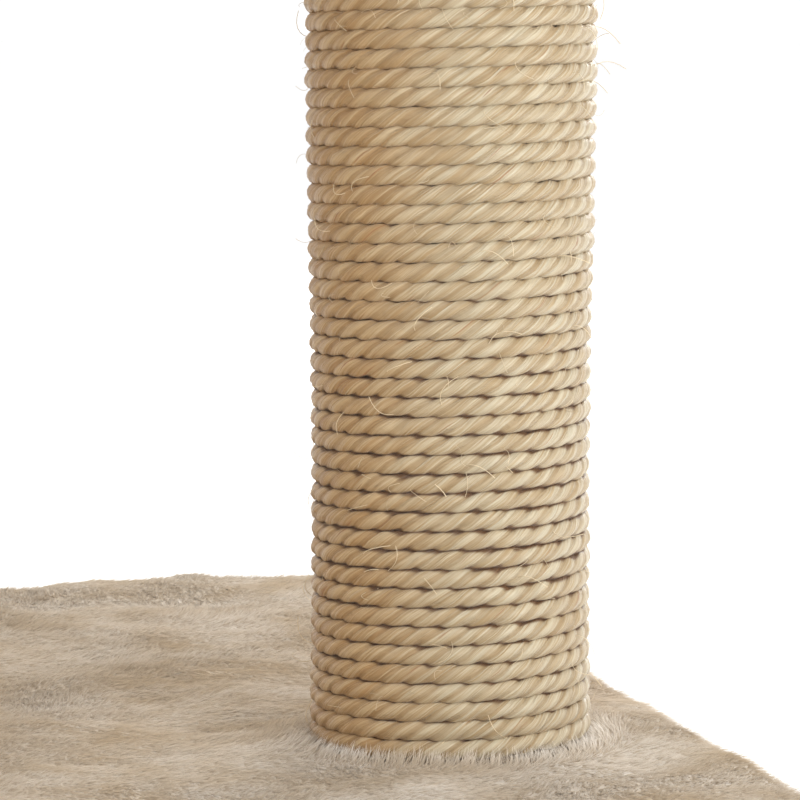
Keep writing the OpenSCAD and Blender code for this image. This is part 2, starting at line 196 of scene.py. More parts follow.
class Graph:
    """Builds a shader tree or a geometry tree."""

    def __init__(self, tree: bpy.types.NodeTree) -> None:
        """Starts on that tree."""
        self.tree = tree

    def add(
        self,
        kind: str,
        settings: dict[str, Any] | None = None,
        inputs: dict[str | int, Any] | None = None,
    ) -> Part:
        """Adds a node.

        Args:
            kind: The node's type.
            settings: Its properties, set first.
            inputs: Values or sockets for its input sockets, by name or number.

        Returns:
            The node, wrapped.
        """
        node = self.tree.nodes.new(kind)
        for key, value in (settings or {}).items():
            setattr(node, key, value)
        for key, value in (inputs or {}).items():
            if isinstance(value, Sock):
                self.tree.links.new(value.socket, node.inputs[key])
            else:
                node.inputs[key].default_value = value
        return Part(self, node)

    def named(self, name: str, kind: str = "FLOAT") -> Sock:
        """A named attribute, in a geometry tree."""
        return self.add("GeometryNodeInputNamedAttribute", {"data_type": kind}, {"Name": name})[0]

    def attribute(self, name: str, output: str = "Fac") -> Sock:
        """A named attribute, in a material."""
        return self.add("ShaderNodeAttribute", {"attribute_name": name})[output]

    def vector(self, operation: str, *values: "Sock | Colour") -> Sock:
        """A Vector Math node's vector."""
        settings = {"operation": operation}
        return self.add("ShaderNodeVectorMath", settings, dict(enumerate(values)))[0]

    def scaled(self, vector: Sock, by: "Sock | float") -> Sock:
        """A vector times a value."""
        inputs = {0: vector, "Scale": by}
        return self.add("ShaderNodeVectorMath", {"operation": "SCALE"}, inputs)[0]

    def measure(self, operation: str, *vectors: "Sock | Colour") -> Sock:
        """A Vector Math node's number, such as a LENGTH or a DOT_PRODUCT."""
        settings = {"operation": operation}
        return self.add("ShaderNodeVectorMath", settings, dict(enumerate(vectors)))["Value"]

    def combine(self, x: "Sock | float", y: "Sock | float", z: "Sock | float") -> Sock:
        """A vector from three values."""
        return self.add("ShaderNodeCombineXYZ", None, {0: x, 1: y, 2: z})[0]

    def split(self, vector: Sock) -> Part:
        """A vector's three values."""
        return self.add("ShaderNodeSeparateXYZ", None, {0: vector})

    def polar(self, radius: Sock, angle: Sock, height: "Sock | float") -> Sock:
        """The point at that radius, angle and height."""
        return self.combine(radius * angle.cosine(), radius * angle.sine(), height)

    def random(self, low: float, high: float, seed: Sock) -> Sock:
        """A random value for each point or instance."""
        inputs = {2: low, 3: high, "Seed": seed}
        return self.add("FunctionNodeRandomValue", {"data_type": "FLOAT"}, inputs)[1]

    def random_way(self, seed: Sock) -> Sock:
        """A random vector for each point, with values from -1 to 1."""
        inputs = {0: (-1.0, -1.0, -1.0), 1: (1.0, 1.0, 1.0), "Seed": seed}
        return self.add("FunctionNodeRandomValue", {"data_type": "FLOAT_VECTOR"}, inputs)[0]

    def aim(self, way: Sock) -> Sock:
        """The turn that points +Z that way."""
        return self.add("FunctionNodeAlignRotationToVector", {"axis": "Z"}, {"Vector": way})[0]

    def store(
        self, part: Part, name: str, value: Sock, kind: str = "FLOAT", domain: str = "POINT"
    ) -> Part:
        """Stores a value on a geometry's points or instances under that name."""
        settings = {"data_type": kind, "domain": domain}
        inputs = {"Geometry": part[0], "Name": name, "Value": value}
        return self.add("GeometryNodeStoreNamedAttribute", settings, inputs)

    def mix(
        self, amount: "Sock | float", a: "Sock | Colour", b: "Sock | Colour", blend: str = "MIX"
    ) -> Sock:
        """A mix of two colours.

        Args:
            amount: 0 for a, 1 for b.
            a: The first colour.
            b: The second colour.
            blend: The Mix node's blend type.

        Returns:
            The mixed colour.
        """
        a, b = (c if isinstance(c, Sock) else (*c, 1.0) for c in (a, b))
        settings = {"data_type": "RGBA", "blend_type": blend}
        return self.add("ShaderNodeMix", settings, {0: amount, 6: a, 7: b})[2]

    def tinted(self, colour: "Sock | Colour", low: float, high: float) -> Sock:
        """A colour that each hair makes darker or lighter by its own tint, from low to high."""
        shade = self.attribute("tint") * (high - low) + low
        return self.mix(1.0, colour, self.combine(shade, shade, shade), "MULTIPLY")

    def noise(self, at: Sock, scale: float, detail: float = 2.0, rough: float = 0.5) -> Part:
        """A 3-D noise texture at that place."""
        inputs = {"Vector": at, "Scale": scale, "Detail": detail, "Roughness": rough}
        return self.add("ShaderNodeTexNoise", None, inputs)


# ---------------------------------------------------------------- finishes


@dataclass(frozen=True)
class Finish:
    """A surface finish that becomes one material."""

    name: str

    def material(self) -> bpy.types.Material:
        """Returns this finish's material, which is made the first time."""
        made = bpy.data.materials.get(self.name)
        if made is None:
            made = bpy.data.materials.new(self.name)
            made.use_nodes = True
            made.node_tree.nodes.clear()
            graph = Graph(made.node_tree)
            surface = self.paint(graph)
            graph.add("ShaderNodeOutputMaterial", None, {"Surface": surface[0]})
        return made

    def paint(self, graph: Graph) -> Part:
        """Adds the nodes and returns the surface shader."""
        raise NotImplementedError

    @staticmethod
    def place(graph: Graph) -> Sock:
        """The point's place in the tree's own frame."""
        return graph.add("ShaderNodeTexCoord")["Object"]

    @staticmethod
    def bump(graph: Graph, height: Sock, distance: float) -> Sock:
        """A bumped normal from a height that runs from 0 to 1 over that distance."""
        inputs = {"Height": height, "Distance": distance, "Strength": 1.0}
        return graph.add("ShaderNodeBump", None, inputs)["Normal"]

    @staticmethod
    def shader(graph: Graph, **inputs: Any) -> Part:
        """A Principled shader; an underscore in a name stands for a space."""
        named = {key.replace("_", " "): value for key, value in inputs.items()}
        return graph.add("ShaderNodeBsdfPrincipled", None, named)


@dataclass(frozen=True)
class PlushFinish(Finish):
    """Short brushed plush: the backing that shows between the hairs, or the hairs themselves."""

    # The root colour is painted shade deep in the pile; the hairs and the backing darken toward it.
    root: Colour = (0.58, 0.49, 0.38)
    dark: Colour = (0.68, 0.57, 0.42)
    light: Colour = (0.88, 0.83, 0.76)
    hairs: bool = False
    tint_span: Pair = (0.92, 1.08)
    patch_scales: Triple = (9.0, 22.0, 90.0)
    patch_warp: float = 0.05
    patch_span: Pair = (0.30, 0.66)
    fuzz_scale: float = 900.0

    def nap(self, graph: Graph, at: Sock) -> Sock:
        """How light the brushed pile is here, from 0 to 1, in soft patches."""
        warp_scale, broad_scale, small_scale = self.patch_scales
        warp = graph.noise(at, warp_scale, 1.0)["Color"]
        moved = graph.vector("ADD", at, graph.scaled(warp, self.patch_warp))
        broad = graph.noise(moved, broad_scale, 2.0, 0.55)[0]
        small = graph.noise(moved, small_scale, 2.0, 0.6)[0]
        return (broad * 0.75 + small * 0.25).step(*self.patch_span)

    def paint(self, graph: Graph) -> Part:
        """Patches of nap over the cloth, and painted shade: darker roots where the hairs start."""
        at = self.place(graph)
        colour = graph.mix(self.nap(graph, at), self.dark, self.light)
        if self.hairs:
            # Painted shade: each hair darkens toward its root.
            colour = graph.mix(graph.attribute("tip").step(0.0, 0.75), self.root, colour)
            return self.shader(
                graph,
                Base_Color=graph.tinted(colour, *self.tint_span),
                Roughness=0.65,
                Specular_IOR_Level=0.25,
                Sheen_Weight=0.5,
                Sheen_Roughness=0.5,
            )
        fuzz = graph.noise(at, self.fuzz_scale, 3.0, 0.7)[0]
        # Painted shade: the backing between the hairs is speckled toward the darker root colour.
        colour = graph.mix(fuzz * 0.5 + 0.1, colour, self.root)
        return self.shader(
            graph,
            Base_Color=colour,
            Roughness=0.95,
            Specular_IOR_Level=0.1,
            Sheen_Weight=0.4,
            Sheen_Roughness=0.5,
            Normal=self.bump(graph, fuzz, 0.8 * MM),
        )


@dataclass(frozen=True)
class SisalFinish(Finish):
    """Twisted sisal: fibres along the strands, painted shade in its grooves and crevices, painted
    glints and a painted sheen, and silky highlights.
    """

    # Painted shade: the colour of the crevices between the turns.
    painted_crevice_shade: Colour = (0.17, 0.082, 0.030)
    # Painted shade: the colour of the grooves between the strands.
    groove: Colour = (0.40, 0.225, 0.085)
    straw: Colour = (0.475, 0.278, 0.112)
    pale: Colour = (0.66, 0.475, 0.26)
    # Painted glint: a pale colour on the fibres where the noise peaks, standing in for light
    # glinting off them.
    painted_glint: Colour = (0.76, 0.61, 0.385)
    # Painted sheen: the side of the rope that faces the front-right lamp is multiplied by this
    # tint, paler and less yellow, standing in for the lamp's whitish sheen.
    painted_sheen: Colour = (0.96, 1.15, 1.46)
    fleck: Colour = (0.36, 0.13, 0.035)
    rope_r: float = 3.3 * MM

    def paint(self, graph: Graph) -> Part:
        """Reads each point's place across the rope, its length along it, and how deep it lies."""
        section = graph.attribute("section", "Vector")
        along = graph.attribute("along")
        across = graph.split(section)
        x, y = across[0], across[1]

        def fibres(stretch: float, width: float, detail: float) -> Sock:
            """Noise that is drawn out along the rope."""
            return graph.noise(graph.combine(along * stretch, x * width, y * width), 1.0, detail)[0]

        fine = fibres(90.0, 5200.0, 2.0)
        bundle = fibres(55.0, 1500.0, 2.0)
        tone = fibres(28.0, 260.0, 2.0)
        straw = (bundle * 0.45 + fine * 0.30 + tone * 0.45).step(0.46, 0.72)
        colour = graph.mix(straw, self.straw, self.pale)
        # Painted glints on the fibres where the fine and bundle noise peak.
        painted_glint = (fine * 0.6 + bundle * 0.4).step(0.55, 0.72)
        colour = graph.mix(painted_glint * 0.55, colour, self.painted_glint)
        flecks = fibres(70.0, 900.0, 1.0).step(0.70, 0.76)
        colour = graph.mix(flecks * 0.7, colour, self.fleck)
        # Painted shade in the grooves between the strands: darker away from each strand's crest.
        crest = (graph.measure("LENGTH", section) / self.rope_r).step(0.85, 0.93)
        colour = graph.mix((1.0 - crest) * 0.55, colour, self.groove)
        # Painted shade in the crevices between the turns: points that lie back from the rope's
        # outer face take the dark colour, broken up along the rope by noise.
        gap = fibres(95.0, 60.0, 1.0)
        crevice_shade_mask = (graph.attribute("depth") + gap * 0.7).step(0.54, 0.84)
        # Painted sheen: paler and less yellow on the side that faces the front-right lamp.
        painted_sheen = graph.mix(graph.attribute("painted_sheen"), (1.0, 1.0, 1.0), self.painted_sheen)
        colour = graph.vector("MULTIPLY", colour, painted_sheen)
        colour = graph.mix(crevice_shade_mask, self.painted_crevice_shade, colour)
        height = fine * 0.45 + bundle * 0.55
        return self.shader(
            graph,
            Base_Color=colour,
            Roughness=(1.0 - straw) * 0.16 + 0.34,
            Specular_IOR_Level=0.75,
            Sheen_Weight=0.2,
            Sheen_Roughness=0.4,
            Normal=self.bump(graph, height, 0.75 * MM),
        )


@dataclass(frozen=True)
class FibreFinish(Finish):
    """Loose sisal fibres."""

    colour: Colour = (0.78, 0.66, 0.46)
    tint_span: Pair = (0.65, 1.15)

    def paint(self, graph: Graph) -> Part:
        """Each fibre has its own tint."""
        colour = graph.tinted(self.colour, *self.tint_span)
        return self.shader(graph, Base_Color=colour, Roughness=0.45)


@dataclass(frozen=True)
class BoardFinish(Finish):
    """Raw particle board: pressed chips of several browns."""

    pale: Colour = (0.62, 0.48, 0.31)
    dark: Colour = (0.36, 0.24, 0.13)
    chip_scale: float = 260.0
    dust_scale: float = 900.0

    def paint(self, graph: Graph) -> Part:
        """Chips as cells of one colour each, with finer dust over them."""
        at = self.place(graph)
        chips = graph.add("ShaderNodeTexVoronoi", None, {"Vector": at, "Scale": self.chip_scale})
        grain = graph.noise(at, self.dust_scale, 3.0)[0]
        chip = graph.add("ShaderNodeSeparateColor", None, {0: chips["Color"]})[0]
        colour = graph.mix(chip * 0.6 + grain * 0.4, self.dark, self.pale)
        rough = grain * 0.2 + 0.7
        bump = self.bump(graph, chip + grain, 0.25 * MM)
        return self.shader(graph, Base_Color=colour, Roughness=rough, Normal=bump)


@dataclass(frozen=True)
class PaperFinish(Finish):
    """Grey-brown cardboard with upright fibres."""

    pale: Colour = (0.50, 0.37, 0.23)
    dark: Colour = (0.38, 0.27, 0.16)
    fibre_scale: Triple = (400.0, 400.0, 90.0)

    def paint(self, graph: Graph) -> Part:
        """Drawn-out noise as faint fibres."""
        stretched = graph.vector("MULTIPLY", self.place(graph), self.fibre_scale)
        fibre = graph.noise(stretched, 1.0, 3.0)[0]
        colour = graph.mix(fibre, self.dark, self.pale)
        bump = self.bump(graph, fibre, 0.1 * MM)
        return self.shader(graph, Base_Color=colour, Roughness=0.8, Normal=bump)


@dataclass(frozen=True)
class WoodFinish(Finish):
    """Raw softwood with its grain along X."""

    pale: Colour = (0.72, 0.56, 0.36)
    dark: Colour = (0.50, 0.34, 0.18)
    grain_scale: Triple = (12.0, 220.0, 220.0)

    def paint(self, graph: Graph) -> Part:
        """Drawn-out noise as grain."""
        stretched = graph.vector("MULTIPLY", self.place(graph), self.grain_scale)
        grain = graph.noise(stretched, 1.0, 3.0)[0]
        colour = graph.mix(grain.step(0.3, 0.7), self.dark, self.pale)
        bump = self.bump(graph, grain, 0.1 * MM)
        return self.shader(graph, Base_Color=colour, Roughness=0.65, Normal=bump)


@dataclass(frozen=True)
class SteelFinish(Finish):
    """Zinc-plated steel, slightly clouded."""

    colour: Colour = (0.60, 0.61, 0.62)
    clouded: Colour = (0.42, 0.42, 0.40)
    cloud_scale: float = 350.0

    def paint(self, graph: Graph) -> Part:
        """Clouds in the plating change its gloss."""
        cloud = graph.noise(self.place(graph), self.cloud_scale, 3.0)[0]
        colour = graph.mix(cloud * 0.4, self.colour, self.clouded)
        rough = cloud * 0.25 + 0.22
        bump = self.bump(graph, cloud, 0.02 * MM)
        return self.shader(graph, Base_Color=colour, Metallic=1.0, Roughness=rough, Normal=bump)


@dataclass(frozen=True)
class FoamFinish(Finish):
    """Matt foam rubber."""

    colour: Colour = (0.035, 0.034, 0.033)
    dusty: Colour = (0.07, 0.07, 0.07)
    pore_scale: float = 1400.0

    def paint(self, graph: Graph) -> Part:
        """Small pores."""
        pores = graph.noise(self.place(graph), self.pore_scale, 2.0)[0]
        colour = graph.mix(pores, self.colour, self.dusty)
        bump = self.bump(graph, pores, 0.15 * MM)
        return self.shader(graph, Base_Color=colour, Roughness=0.9, Normal=bump)


@dataclass(frozen=True)
class ClothFinish(Finish):
    """Thin non-woven cloth under a board."""

    pale: Colour = (0.62, 0.53, 0.42)
    dark: Colour = (0.50, 0.41, 0.31)
    fibre_scale: float = 1100.0
    dot_scale: float = 420.0

    def paint(self, graph: Graph) -> Part:
        """Pressed fibres with a grid of bonding points."""
        at = self.place(graph)
        fibre = graph.noise(at, self.fibre_scale, 4.0, 0.7)[0]
        grid = {"Vector": at, "Scale": self.dot_scale, "Randomness": 0.1}
        dent = graph.add("ShaderNodeTexVoronoi", None, grid)["Distance"].step(0.1, 0.35)
        colour = graph.mix(fibre * 0.6 + dent * 0.4, self.dark, self.pale)
        bump = self.bump(graph, dent + fibre, 0.2 * MM)
        return self.shader(graph, Base_Color=colour, Roughness=0.9, Normal=bump)


@dataclass(frozen=True)
class FloorFinish(Finish):
    """A pale studio floor."""

    colour: Colour = (0.93, 0.93, 0.93)

    def paint(self, graph: Graph) -> Part:
        """One matt colour."""
        return self.shader(graph, Base_Color=(*self.colour, 1.0), Roughness=0.9)


PLUSH = PlushFinish("plush_backing")
PILE = PlushFinish("plush_pile", hairs=True)
SISAL = SisalFinish("sisal_rope")
FIBRE = FibreFinish("sisal_fibre")
BOARD = BoardFinish("particle_board")
TUBE = PaperFinish("cardboard_tube")
PLUG = WoodFinish("softwood_plug")
STEEL = SteelFinish("zinc_steel")
FOOT = FoamFinish("foam_rubber")
CLOTH = ClothFinish("under_cloth")
FLOOR = FloorFinish("studio_floor")


# ---------------------------------------------------------------- meshes


def linked(name: str, data: bpy.types.ID) -> bpy.types.Object:
    """Makes an object of that data and links it to the scene."""
    thing = bpy.data.objects.new(name, data)
    bpy.context.scene.collection.objects.link(thing)
    return thing


def evaluated(thing: bpy.types.Object) -> bpy.types.Mesh:
    """The plain mesh that an object's modifiers make of it."""
    bpy.context.view_layer.update()
    graph = bpy.context.evaluated_depsgraph_get()
    return bpy.data.meshes.new_from_object(thing.evaluated_get(graph), depsgraph=graph)


def make_piece(
    name: str, data: bpy.types.Mesh, finish: Finish, slot: Slot, smooth: bool = True
) -> bpy.types.Object:
    """Makes a finished piece of the tree.

    Args:
        name: The piece's name.
        data: Its mesh, in the tree's frame.
        finish: Its finish.
        slot: The record's slot that the finish stands for; not used.
        smooth: Whether its faces are shaded smooth.

    Returns:
        The object, which rides on the tree's one body.
    """
    data.name = name
    data.materials.clear()
    data.materials.append(finish.material())
    data.polygons.foreach_set("use_smooth", np.full(len(data.polygons), smooth))
    piece = linked(name, data)
    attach(piece, ROOT)
    LOG.info("%s: %d faces", name, len(data.polygons))
    return piece


def mesh_from(points: np.ndarray, quads: np.ndarray) -> bpy.types.Mesh:
    """A mesh from an array of points and an array of quads."""
    data = bpy.data.meshes.new("mesh")
    data.from_pydata(points.tolist(), [], quads.tolist())
    data.update()
    return data


def store(data: bpy.types.Mesh, name: str, values: np.ndarray) -> None:
    """Stores a value or a vector for each point as a named attribute."""
    kind, key = ("FLOAT", "value") if values.ndim == 1 else ("FLOAT_VECTOR", "vector")
    layer = data.attributes.new(name, kind, "POINT")
    layer.data.foreach_set(key, values.astype(np.float32).ravel())


def points_of(data: bpy.types.Mesh) -> np.ndarray:
    """The mesh's points as an array."""
    flat = np.empty(len(data.vertices) * 3, np.float32)
    data.vertices.foreach_get("co", flat)
    return flat.reshape(-1, 3).astype(float)


def normals_of(data: bpy.types.Mesh) -> np.ndarray:
    """The mesh's point normals as an array."""
    flat = np.empty(len(data.vertices) * 3, np.float32)
    data.vertex_normals.foreach_get("vector", flat)
    return flat.reshape(-1, 3).astype(float)


def move_points(data: bpy.types.Mesh, points: np.ndarray) -> None:
    """Puts the mesh's points there."""
    data.vertices.foreach_set("co", points.astype(np.float32).ravel())
    data.update()


def smooth_step(low: float, high: float, value: np.ndarray) -> np.ndarray:
    """0 below low, 1 above high, and smooth between them."""
    t = np.clip((value - low) / (high - low), 0.0, 1.0)
    return t * t * (3.0 - 2.0 * t)


@dataclass(frozen=True)
class Ripple:
    """A smooth random field, as a sum of waves."""

    longest: float
    shortest: float
    seed: int
    waves: int = 28

    def at(self, points: np.ndarray) -> np.ndarray:
        """The field at each point, mostly between -1 and 1."""
        random = np.random.default_rng(self.seed)
        total = np.zeros(len(points))
        for _ in range(self.waves):
            length = math.exp(random.uniform(math.log(self.shortest), math.log(self.longest)))
            way = random.normal(size=3)
            way *= FULL_TURN / (length * np.linalg.norm(way))
            total += np.sin(points @ way + random.uniform(0.0, FULL_TURN))
        return total / math.sqrt(self.waves)


# The longest and shortest waves, in metres, of a cloth's swells and of its brushed pile.
BROAD: Pair = (0.10, 0.030)
FINE: Pair = (0.024, 0.012)
SWEEP: Pair = (0.50, 0.20)
PATCH: Pair = (0.12, 0.05)
STROKE: Pair = (0.10, 0.04)


# ---------------------------------------------------------------- geometry trees


class Grower:
    """A Geometry Nodes tree with named inputs, run on an object and then removed."""

    def __init__(self, name: str, inputs: dict[str, tuple[str, Any]]) -> None:
        """Starts a tree.

        Args:
            name: The tree's name.
            inputs: Each input's socket type and value, by name.
        """
        self.tree = bpy.data.node_groups.new(name, "GeometryNodeTree")
        face = self.tree.interface
        for way in ("INPUT", "OUTPUT"):
            face.new_socket("Geometry", in_out=way, socket_type="NodeSocketGeometry")
        self.values: dict[str, Any] = {}
        for key, (kind, value) in inputs.items():
            item = face.new_socket(key, in_out="INPUT", socket_type=f"NodeSocket{kind}")
            self.values[item.identifier] = value
        self.graph = Graph(self.tree)
        self.inputs = self.graph.add("NodeGroupInput")

    def scatter(self, density: Sock) -> Part:
        """Random points on the base's faces, that many on a square metre."""
        inputs = {"Mesh": self.inputs["Geometry"], "Density": density, "Seed": self.inputs["Seed"]}
        settings = {"distribute_method": "RANDOM"}
        return self.graph.add("GeometryNodeDistributePointsOnFaces", settings, inputs)

    def plant(self, roots: Part, hair: Part, turn: Sock, scale: Sock) -> None:
        """Puts a hair on each point, stores its random tint, and ends the tree."""
        inputs = {"Points": roots["Points"], "Instance": hair[0], "Rotation": turn, "Scale": scale}
        hairs = self.graph.add("GeometryNodeInstanceOnPoints", None, inputs)
        tint = self.graph.random(0.0, 1.0, self.inputs["Seed"])
        self.close(self.graph.store(hairs, "tint", tint, domain="INSTANCE"))

    def close(self, geometry: Part) -> None:
        """Ends the tree in Realize Instances and Set Material."""
        real = self.graph.add("GeometryNodeRealizeInstances", None, {0: geometry[0]})
        inputs = {0: real[0], "Material": self.inputs["Finish"]}
        dressed = self.graph.add("GeometryNodeSetMaterial", None, inputs)
        self.graph.add("NodeGroupOutput", None, {0: dressed[0]})

    def grow(self, base: bpy.types.Mesh | None = None) -> bpy.types.Mesh:
        """Runs the tree.

        Args:
            base: The mesh that it grows on, or None for one that needs none.

        Returns:
            The plain mesh that it makes.
        """
        carrier = linked("carrier", base or bpy.data.meshes.new("seed"))
        modifier = carrier.modifiers.new("grow", "NODES")
        modifier.node_group = self.tree
        for identifier, value in self.values.items():
            modifier[identifier] = value
        made = evaluated(carrier)
        bpy.data.objects.remove(carrier)
        bpy.data.node_groups.remove(self.tree)
        return made


@dataclass(frozen=True)
class Pile:
    """Plush hairs over a skin.

    The skin carries "pile" (how much grows), "tall" (how high) and "nap" (which way it leans).
    """

    per_m2: float = 2.2e5
    length: float = 6.0 * MM
    width: float = 0.30 * MM
    lean: float = 1.7
    clump: float = 0.36
    stray: float = 0.28
    tuft_scales: Pair = (140.0, 420.0)
    height_scale: float = 260.0
    shortest: float = 0.65
    longest: float = 1.1
    seed: int = 1

    def grow(self, skin: bpy.types.Mesh) -> bpy.types.Mesh:
        """Grows the hairs.

        Args:
            skin: The cloth's mesh, with its "pile", "tall" and "nap" attributes.

        Returns:
            The hairs as one mesh.
        """
        grower = Grower(
            "plush_pile",
            {
                "Hairs per m2": ("Float", self.per_m2),
                "Length": ("Float", self.length),
                "Width": ("Float", self.width),
                "Lean": ("Float", self.lean),
                "Clump": ("Float", self.clump),
                "Stray": ("Float", self.stray),
                "Seed": ("Int", self.seed),
                "Finish": ("Material", PILE.material()),
            },
        )
        graph, given = grower.graph, grower.inputs
        roots = grower.scatter(given["Hairs per m2"] * graph.named("pile"))
        at = graph.add("GeometryNodeInputPosition")[0]
        nap = graph.named("nap", "FLOAT_VECTOR")
        way = graph.vector("ADD", roots["Normal"], graph.scaled(nap, given["Lean"]))
        for scale in self.tuft_scales:
            tuft = graph.vector("SUBTRACT", graph.noise(at, scale, 1.0)["Color"], (0.5, 0.5, 0.5))
            way = graph.vector("ADD", way, graph.scaled(tuft, given["Clump"] * 2.0))
        random = graph.random_way(given["Seed"])
        way = graph.vector("ADD", way, graph.scaled(random, given["Stray"]))
        size = graph.random(self.shortest, self.longest, given["Seed"])
        tuft_size = graph.noise(at, self.height_scale, 1.0)[0] * 0.4 + 0.8
        tall = size * tuft_size * graph.named("tall")
        cone = graph.add(
            "GeometryNodeMeshCone",
            {"fill_type": "NGON"},
            {
                "Vertices": 3,
                "Side Segments": 1,
                "Radius Top": 0.0,
                "Radius Bottom": given["Width"] * 0.5,
                "Depth": given["Length"],
            },
        )
        hair = graph.store(cone, "tip", graph.split(at)[2] / given["Length"])
        grower.plant(roots, hair, graph.aim(way), graph.combine(1.0, 1.0, tall))
        return grower.grow(skin.copy())


WIDE = Pile(width=0.85 * MM, clump=0.5)


@dataclass(frozen=True)
class Winding:
    """A laid three-strand rope wound on a tube, in close turns from the bottom up."""

    tube_r: float
    rope_r: float
    pitch: float
    lay: float = 23.5 * MM
    start: float = math.radians(150.0)
    # Painted sheen: the way that the lit side faces (towards the front-right lamp), and the span
    # over which the painted sheen comes in.
    painted_sheen_side: Triple = (0.64, -0.77, 0.0)
    painted_sheen_span: Pair = (-0.2, 0.75)
    swell_by: float = 0.8 * MM
    swell_length: float = 300.0 * MM
    swell_start: float = 3.05
    corners: int = 15
    ring: float = 1.75 * MM
    valley: float = 0.24
    wander: float = 0.35 * MM
    swell: float = 0.3 * MM
    fray: float = 0.5 * MM
    fray_scale: float = 260.0
    seed: int = 3

    def lobe(self, angle: Sock) -> Sock:
        """The rope's radius at that angle: a circle drawn part of the way in to its strands."""
        strand = 1.0 / (1.0 + 2.0 / math.sqrt(3.0))
        reach = 1.0 - strand
        third = FULL_TURN / 3.0
        turned = angle / third
        inside = (turned - turned.floor() - 0.5) * third
        sine = inside.sine() * reach
        cosine = inside.cosine() * reach
        depth = strand * strand - sine * sine
        outline = cosine + depth._math("MAXIMUM", depth, 0.0) ** 0.5
        return (outline * self.valley + (1.0 - self.valley)) * (self.rope_r + self.swell)

    def wind(self, first: float, turns: float) -> bpy.types.Mesh:
        """Winds part of the rope about the Z axis.

        Args:
            first: The number of turns below this part.
            turns: How many turns it has.

        Returns:
            The rope as a closed mesh, with "along", "section", "depth" and the painted sheen's mask
            stored on it.
        """
        grower = Grower(
            "sisal_winding",
            {
                "Turns": ("Float", turns),
                "First": ("Float", first),
                "Pitch": ("Float", self.pitch),
                "Middle radius": ("Float", self.tube_r + self.rope_r),
                "Lay": ("Float", self.lay),
                "Start": ("Float", self.start),
                "Wander": ("Float", self.wander),
                "Fray": ("Float", self.fray),
                "Finish": ("Material", SISAL.material()),
            },
        )
        graph, given = grower.graph, grower.inputs
        round_length = FULL_TURN * (self.tube_r + self.rope_r)
        count = int(turns * round_length / self.ring)
        line = graph.add("GeometryNodeCurvePrimitiveLine", {"mode": "POINTS"})
        inputs = {"Curve": line[0], "Count": count + 1}
        line = graph.add("GeometryNodeResampleCurve", {"mode": "COUNT"}, inputs)
        index = graph.add("GeometryNodeInputIndex")[0]
        turn = index * (given["Turns"] / float(count)) + given["First"]
        angle = turn * FULL_TURN + given["Start"]
        along = turn * round_length
        at = graph.combine(angle.cosine(), angle.sine(), turn * 0.35 + float(self.seed))
        loose = graph.vector("SUBTRACT", graph.noise(at, 6.0, 2.0)["Color"], (0.5, 0.5, 0.5))
        slack = graph.split(graph.scaled(loose, given["Wander"] * 3.0))
        slow = turn * (FULL_TURN * self.pitch / self.swell_length) - self.swell_start
        radius = given["Middle radius"] + slack[0] + slow.sine() * self.swell_by
        place = graph.polar(radius, angle, turn * given["Pitch"] + slack[1])
        line = graph.add("GeometryNodeSetPosition", None, {0: line[0], "Position": place})
        line = graph.add("GeometryNodeSetCurveNormal", {"mode": "Z_UP"}, {0: line[0]})
        tilt = along / given["Lay"] * -FULL_TURN
        line = graph.add("GeometryNodeSetCurveTilt", None, {0: line[0], "Tilt": tilt})
        line = graph.store(line, "along", along)
        settings = {"mode": "RADIUS"}
        profile = graph.add("GeometryNodeCurvePrimitiveCircle", settings, {0: self.corners})
        step = index * (FULL_TURN / self.corners)
        outline = graph.polar(self.lobe(step), step, 0.0)
        profile = graph.add("GeometryNodeSetPosition", None, {0: profile[0], "Position": outline})
        at = graph.add("GeometryNodeInputPosition")[0]
        profile = graph.store(profile, "section", at, "FLOAT_VECTOR")
        inputs = {0: line[0], 1: profile[0], "Fill Caps": True}
        rope = graph.add("GeometryNodeCurveToMesh", None, inputs)
        facing = graph.add("GeometryNodeInputNormal")[0]
        rough = graph.noise(at, self.fray_scale, 2.0, 0.6)[0] - 0.5
        offset = graph.scaled(facing, rough * given["Fray"] * 2.0)
        rope = graph.add("GeometryNodeSetPosition", None, {0: rope[0], "Offset": offset})
        level = graph.vector("MULTIPLY", at, (1.0, 1.0, 0.0))
        far = graph.measure("LENGTH", level)
        rope = graph.store(rope, "depth", (far - given["Middle radius"]) / self.rope_r)
        # Painted sheen: how far each point faces the front-right lamp.
        lit = graph.measure("DOT_PRODUCT", graph.vector("NORMALIZE", level), self.painted_sheen_side)
        rope = graph.store(rope, "painted_sheen", lit.step(*self.painted_sheen_span))
        grower.close(rope)
        return grower.grow()


